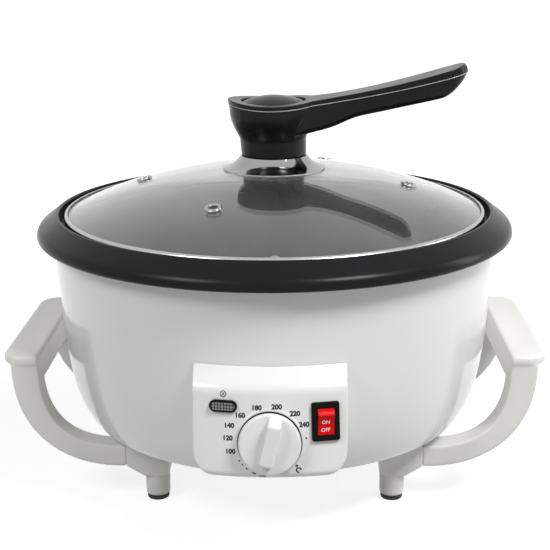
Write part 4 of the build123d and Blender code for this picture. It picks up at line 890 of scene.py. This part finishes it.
class ROASTER_OT_lid_handle(bpy.types.Operator):
    """Long black handle: its two halves, a pale bead on their seam that is a painted highlight, and the cap
    in the cover
    """

    bl_idname = "roaster.lid_handle"
    bl_label = "Lid handle"

    def execute(self, context):
        voxel = context.scene.roaster_body.voxel
        settings = context.scene.roaster_lid
        plastic = moulded_plastic("handle_phenolic", settings.handle, 0.26, 0.00004, 1400, 0.04, 0.14)
        cover = softened("lid_handle_cover", "handle_cover", voxel * COVER_DETAIL, 5, self.round_nose)
        piece_from(cover, "handle_cover", "lid", plastic, ["lid_handle_cover"])
        shell = softened("lid_handle_lower", "handle_shell", voxel * SHELL_DETAIL, 5, self.fill_out)
        piece_from(shell, "handle_shell", "lid", plastic, ["lid_handle_lower"])
        # The seam bead's pale grey is a painted highlight: it stands for the light caught by the seam's
        # edge.
        seam = moulded_plastic("seam_painted_highlight", settings.seam, 0.2, 0.00001)
        piece_from(self.seam_highlight_bead(), "handle_seam_highlight", "lid", seam)
        edge = CAP_LOW.z + CAP_EDGE
        radius, rise = CAP_HIGH.x, CAP_HIGH.z - edge
        dome = (radius**2 + rise**2) / (2 * rise)
        rings = [radius * (1 - i / CAP_RINGS) for i in range(CAP_RINGS)]
        arc = [(ring, CAP_HIGH.z - dome + sqrt(dome**2 - ring**2)) for ring in rings]
        corners = [(CAP_CENTRE, CAP_LOW.z), (radius, CAP_LOW.z)] + arc + [(CAP_CENTRE, CAP_HIGH.z)]
        piece_from(turned(corners, SMALL_STEPS), "neck_cap", "lid", plastic, ["knob_cap"])
        return {"FINISHED"}

    def fill_out(self, bm):
        """Bellies the cup's side and rounds the lower half's tip back under the cover."""
        low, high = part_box("lid_handle_lower")
        start = high.x - TIP_LENGTH
        foot, mouth = low.z + CUP_FOOT, CAP_LOW.z - CUP_MOUTH
        for vert in bm.verts:
            if foot < vert.co.z < mouth:
                belly = CUP_BELLY * sin(pi * (vert.co.z - foot) / (mouth - foot))
                side = min(1, max(0, (CUP_SIDE - vert.co.x) / CUP_BLEND))
                reach = sqrt(vert.co.x**2 + vert.co.y**2)
                if reach > CUP_CORE:
                    vert.co.x *= 1 + belly * side / reach
                    vert.co.y *= 1 + belly * side / reach
            share = max(0, vert.co.x - start) / TIP_LENGTH
            depth = high.z - TIP_RISE * (high.x - vert.co.x) - vert.co.z
            vert.co.x -= TIP_BACK * share * max(0, depth)
            vert.co.z += TIP_UP * share**2 * max(0, depth)

    def round_nose(self, bm):
        """Rounds the cover's nose above the seam."""
        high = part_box("lid_handle_cover")[1]
        start = high.x - TIP_LENGTH / 2
        middle = high.z - NOSE_HEIGHT / 2
        for vert in bm.verts:
            share = max(0, vert.co.x - start) / (high.x - start)
            lift = (vert.co.z - middle + TIP_RISE * (high.x - vert.co.x)) / (NOSE_HEIGHT / 2)
            vert.co.x -= NOSE_ROUNDING * share * max(0, min(1, lift))

    def seam_highlight_bead(self):
        """Fine pale bead along the lower half's outer seam edge, painted as the highlight that the edge
        catches.
        """
        bm = merged_copy("lid_handle_lower")
        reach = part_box("lid_handle_lower")[1].x - SEAM_END
        follows = {}
        for edge in bm.edges:
            top, side = sorted(edge.link_faces, key=lambda face: -face.normal.z)
            middle = (edge.verts[0].co + edge.verts[1].co) / 2
            spine = Vector((min(max(middle.x, 0), reach), 0, middle.z))
            outward = side.normal.dot(middle - spine) > 0
            level = top.normal.z > SEAM_FACING and middle.z > CAP_LOW.z - SEAM_DROP
            if level and outward and edge.calc_face_angle() > SEAM_CREASE:
                for vert in edge.verts:
                    follows.setdefault(vert, []).append(edge.other_vert(vert))
        first = here = next(iter(follows))
        loop, last = [], None
        while here != first or not loop:
            loop.append(here.co.copy())
            here, last = next(vert for vert in follows[here] if vert != last), here
        bm.free()
        curve = bpy.data.curves.new("seam_line", "CURVE")
        curve.dimensions = "3D"
        curve.bevel_depth = BEAD_RADIUS
        curve.bevel_resolution = 2
        spline = curve.splines.new("POLY")
        spline.points.add(len(loop) - 1)
        for point, place in zip(spline.points, loop):
            point.co = (place.x, place.y, place.z, 1)
        spline.use_cyclic_u = True
        draft = bpy.data.objects.new("seam_draft", curve)
        mesh = bpy.data.meshes.new_from_object(draft)
        bm = bmesh.new()
        bm.from_mesh(mesh)
        bpy.data.objects.remove(draft)
        bpy.data.curves.remove(curve)
        bpy.data.meshes.remove(mesh)
        bmesh.ops.remove_doubles(bm, verts=bm.verts[:], dist=PRINT_MERGE)
        bmesh.ops.recalc_face_normals(bm, faces=bm.faces[:])
        mark_sharp(bm, pi)
        return bm


class ROASTER_OT_side_handles(bpy.types.Operator):
    """Side handles and the legs under them"""

    bl_idname = "roaster.side_handles"
    bl_label = "Side handles and legs"

    def execute(self, context):
        settings = context.scene.roaster_body
        plastic = moulded_plastic("handle_plastic", settings.handles, 0.32, 0.00005, 1100)
        for side in ("left", "right"):
            node = f"side_handle_{side}"
            bm = softened(node, node, settings.voxel, 6)
            piece_from(bm, f"grip_{side}", "housing", plastic, [node])
            for end in ("front", "rear"):
                node = f"leg_{end}_{side}"
                bm = softened(node, node, settings.voxel * LEG_DETAIL, 3)
                piece_from(bm, f"leg_block_{end}_{side}", "housing", plastic, [node])
        return {"FINISHED"}


class ROASTER_OT_control_box(bpy.types.Operator):
    """Control box with its printed scale, dial and switch marks"""

    bl_idname = "roaster.control_box"
    bl_label = "Control box"

    def execute(self, context):
        settings = context.scene.roaster_controls
        voxel = context.scene.roaster_body.voxel
        plastic = moulded_plastic("housing_plastic", settings.housing, 0.24, 0.00002, 1200, 0.02)
        bm = softened("panel_housing", "control_housing", voxel * HOUSING_DETAIL, 6)
        face = BVHTree.FromBMesh(bm)
        piece_from(bm, "control_housing", "housing", plastic, ["panel_housing"])
        self.scale(settings, face)
        self.dial(settings)
        self.rocker_words(settings)
        return {"FINISHED"}

    def scale(self, settings, face):
        """Figures and marks round the dial, and the lamp's symbol."""
        ink = moulded_plastic("scale_ink", settings.ink, 0.45, 0.00001)
        out = face_place(0, DIAL_Z).to_3x3().col[2]
        bm = bmesh.new()
        for label, angle, share in SCALE_FIGURES:
            spot = dial_spot(angle, settings.scale_radius * share)
            add_print(bm, words(label, settings.figure_size), spot, face, out)
        angle, radius, height = OFF_MARK
        add_print(bm, words("OFF", height), dial_spot(angle, radius), face, out)
        angle, radius, height = UNIT_MARK
        add_print(bm, words("\u00b0C", height), dial_spot(angle, radius), face, out, UNIT_TURN)
        for angle, share, length, width in SCALE_MARKS:
            spot = dial_spot(angle, settings.scale_radius * share)
            add_print(bm, bar(length * MM, width * MM), spot, face, out, -angle)
        lamp = (LAMP_X, LAMP_Z + LAMP_MARK_RISE)
        add_print(bm, hoop(*LAMP_CIRCLE), lamp, face, out)
        for turn in (45.0, -45.0):
            add_print(bm, bar(*LAMP_STROKE), lamp, face, out, turn)
        mark_sharp(bm)
        piece_from(bm, "printed_scale", "housing", ink)

    def dial(self, settings):
        plastic = moulded_plastic("dial_plastic", settings.dial, 0.3, 0.00003, 1100, 0.03)
        bm = softened("dial_knob", "dial", DIAL_VOXEL, 5)
        piece_from(bm, "dial_grip", "dial", plastic, ["dial_knob"])
        # The black ring under the knob is painted shade: it stands for the shadowed gap round the dial.
        black = moulded_plastic("dial_shadow_black", settings.ring, 0.3, sheen=0.12)
        corners = [(radius * MM, height * MM) for radius, height in SHADOW_RING_SECTION]
        corners[1:3] = [(*corner, SHADOW_RING_ROUNDING) for corner in corners[1:3]]
        bm = turned(corners, SMALL_STEPS)
        bmesh.ops.transform(bm, matrix=face_place(0, DIAL_Z), verts=bm.verts[:])
        piece_from(bm, "dial_shadow_ring", "housing", black, ["dial_ring"])

    def rocker_words(self, settings):
        """ON and OFF, moulded white on the rocker."""
        white = moulded_plastic("rocker_print", (0.85, 0.85, 0.85), 0.4, 0.00001)
        face = BVHTree.FromBMesh(merged_copy("switch_rocker"))
        place = face_place(SWITCH_X, SWITCH_Z).to_3x3()
        out = place.col[2]
        bm = bmesh.new()
        for label, drop in ROCKER_WORDS:
            spot = (SWITCH_X + ROCKER_WORD_SHIFT, SWITCH_Z - drop * MM)
            add_print(bm, words(label, ROCKER_WORD_HEIGHT, ROCKER_WORD_WEIGHT), spot, face, out)
        mark_sharp(bm)
        piece_from(bm, "rocker_words", "rocker", white)


class ROASTER_OT_fittings(bpy.types.Operator):
    """Finishes of the pieces that keep their mesh from the frame"""

    bl_idname = "roaster.fittings"
    bl_label = "Fittings"

    def execute(self, context):
        controls = context.scene.roaster_controls
        finishes = {
            "plated_steel": metal("zinc_plate", (0.55, 0.55, 0.53), 0.28, 0.45),
            "stainless": metal("drawn_steel", (0.5, 0.5, 0.49), 0.24, 0.34, (1, 8, 1), 900, 0.000002),
            "cast_aluminium": metal("cast_aluminium", (0.5, 0.5, 0.5), 0.4, 0.6, scale=900, grain=0.00008),
            "bare_aluminium": metal("mill_aluminium", (0.68, 0.68, 0.68), 0.25, 0.4, (6, 1, 1)),
            "bronze": metal("sintered_bronze", (0.45, 0.3, 0.14), 0.4, 0.6, scale=1500),
            "dark_plastic": moulded_plastic("black_nylon", (0.004, 0.004, 0.005), 0.2, sheen=0.06),
            "rocker_red": moulded_plastic(
                "red_polycarbonate", controls.rocker, 0.2, 0.00001, 600, sheen=0.08
            ),
            "lens_smoke": lens_grid("lens_plastic", (0.5, 0.5, 0.5), 1.6 * MM),
            "terminal_plastic": moulded_plastic("terminal_nylon", (0.7, 0.68, 0.6), 0.5),
            "black_rubber": rubber("foot_rubber", (0.012, 0.012, 0.012)),
            "seal_silicone": rubber("silicone", (0.5, 0.5, 0.49)),
            "clear_glass": clear_glass("bulb_glass", (0.95, 0.95, 0.95), 0.02),
        }
        for entry in frame["record"]["subparts"]:
            node = NODES[entry["node"]]
            if node.hide_render:
                continue
            node.data.materials.clear()
            node.data.materials.append(finishes[entry["material_slot"]])
        return {"FINISHED"}


class ROASTER_OT_stage(bpy.types.Operator):
    """Pale floor, soft lamps and the camera"""

    bl_idname = "roaster.stage"
    bl_label = "Stage"

    def execute(self, context):
        settings = context.scene.roaster_stage
        self.floor(settings)
        self.world(settings)
        self.lamps()
        self.camera(context, settings)
        context.scene.view_settings.view_transform = "Standard"
        return {"FINISHED"}

    def floor(self, settings):
        bm = bmesh.new()
        bmesh.ops.create_grid(bm, x_segments=2, y_segments=2, size=FLOOR_SIZE)
        mesh = bpy.data.meshes.new("floor")
        bm.to_mesh(mesh)
        bm.free()
        floor = bpy.data.objects.new("floor", mesh)
        bpy.context.scene.collection.objects.link(floor)
        mesh.materials.append(self.floor_card(settings))

    def floor_card(self, settings):
        """Matt card that the camera sees as white and that keeps the roaster's shadow."""
        material = new_material("floor_card", shaded(settings.floor, CARD_SHARE), 0.9)
        tree = material.node_tree
        shader = tree.nodes["Principled BSDF"]
        vary_roughness(material, mapped(material, noise(material, 40), 0.85, 0.95))
        path = add_node(material, "ShaderNodeLightPath")
        coords = add_node(material, "ShaderNodeTexCoord")
        reach = add_node(material, "ShaderNodeVectorMath", operation="LENGTH")
        tree.links.new(coords.outputs["Object"], reach.inputs[0])
        away = reach.outputs["Value"]
        white = mapped(material, away, settings.floor_glow, 1.0, GLOW_START, GLOW_END)
        glow = add_node(material, "ShaderNodeMath", operation="MULTIPLY")
        tree.links.new(white, glow.inputs[1])
        tree.links.new(seen_by(tree, path), glow.inputs[0])
        tree.links.new(glow.outputs["Value"], shader.inputs["Emission Strength"])
        shader.inputs["Emission Color"].default_value = (1, 1, 1, 1)
        shader.inputs["Specular IOR Level"].default_value = 0.0
        return material

    def world(self, settings):
        world = bpy.data.worlds.new("studio")
        bpy.context.scene.world = world
        world.use_nodes = True
        tree = world.node_tree
        seen = tree.nodes["Background"]
        seen.inputs["Strength"].default_value = 1.0
        seen.inputs["Color"].default_value = (1, 1, 1, 1)
        lighting = tree.nodes.new("ShaderNodeBackground")
        lighting.inputs["Strength"].default_value = settings.ambient
        lighting.inputs["Color"].default_value = (1, 1, 1, 1)
        path = tree.nodes.new("ShaderNodeLightPath")
        mix = tree.nodes.new("ShaderNodeMixShader")
        tree.links.new(seen_by(tree, path), mix.inputs["Fac"])
        tree.links.new(lighting.outputs["Background"], mix.inputs[1])
        tree.links.new(seen.outputs["Background"], mix.inputs[2])
        tree.links.new(mix.outputs["Shader"], tree.nodes["World Output"].inputs["Surface"])

    def lamps(self):
        for name, spot, wide, tall, power in LAMPS:
            light = bpy.data.lights.new(name, "AREA")
            light.shape = "RECTANGLE"
            light.size = wide
            light.size_y = tall
            light.energy = power
            lamp = bpy.data.objects.new(name, light)
            lamp.location = spot
            lamp.rotation_euler = (Vector(LAMP_AIM) - Vector(spot)).to_track_quat("-Z", "Y").to_euler()
            bpy.context.scene.collection.objects.link(lamp)

    def camera(self, context, settings):
        azimuth, elevation = settings.azimuth, settings.elevation
        back = Vector((sin(azimuth) * cos(elevation), -cos(azimuth) * cos(elevation), sin(elevation)))
        right = Vector((cos(azimuth), sin(azimuth), 0))
        up = back.cross(right)
        level = Matrix((right, up, back)).transposed()
        target = Vector(CAMERA_TARGET)
        data = bpy.data.cameras.new("camera")
        data.lens = settings.lens
        camera = bpy.data.objects.new("camera", data)
        camera.matrix_world = Matrix.Translation(target + back * settings.distance) @ (
            level @ Matrix.Rotation(settings.roll, 3, "Z")
        ).to_4x4()
        context.scene.collection.objects.link(camera)
        context.scene.camera = camera


class ROASTER_PT_panel(bpy.types.Panel):
    """Lists the roaster's settings and steps"""

    bl_idname = "ROASTER_PT_panel"
    bl_label = "Coffee roaster"
    bl_space_type = "VIEW_3D"
    bl_region_type = "UI"
    bl_category = "Roaster"

    def draw(self, context):
        layout = self.layout
        for group in ("roaster_body", "roaster_lid", "roaster_controls", "roaster_stage"):
            box = layout.box()
            settings = getattr(context.scene, group)
            for key in settings.bl_rna.properties.keys():
                if key not in ("rna_type", "name"):
                    box.prop(settings, key)
        for operator in OPERATORS:
            layout.operator(operator.bl_idname)


SETTINGS = {
    "roaster_body": BodySettings,
    "roaster_lid": LidSettings,
    "roaster_controls": ControlSettings,
    "roaster_stage": StageSettings,
}
OPERATORS = (
    ROASTER_OT_stage,
    ROASTER_OT_body,
    ROASTER_OT_rim,
    ROASTER_OT_pan,
    ROASTER_OT_lid,
    ROASTER_OT_lid_handle,
    ROASTER_OT_side_handles,
    ROASTER_OT_control_box,
    ROASTER_OT_fittings,
)


def register():
    for group, settings in SETTINGS.items():
        bpy.utils.register_class(settings)
        setattr(bpy.types.Scene, group, PointerProperty(type=settings))
    for operator in OPERATORS:
        bpy.utils.register_class(operator)
    bpy.utils.register_class(ROASTER_PT_panel)


def unregister():
    bpy.utils.unregister_class(ROASTER_PT_panel)
    for operator in reversed(OPERATORS):
        bpy.utils.unregister_class(operator)
    for group, settings in SETTINGS.items():
        delattr(bpy.types.Scene, group)
        bpy.utils.unregister_class(settings)


def main():
    register()
    for operator in OPERATORS:
        family, name = operator.bl_idname.split(".")
        getattr(getattr(bpy.ops, family), name)()


if __name__ == "__main__":
    main()
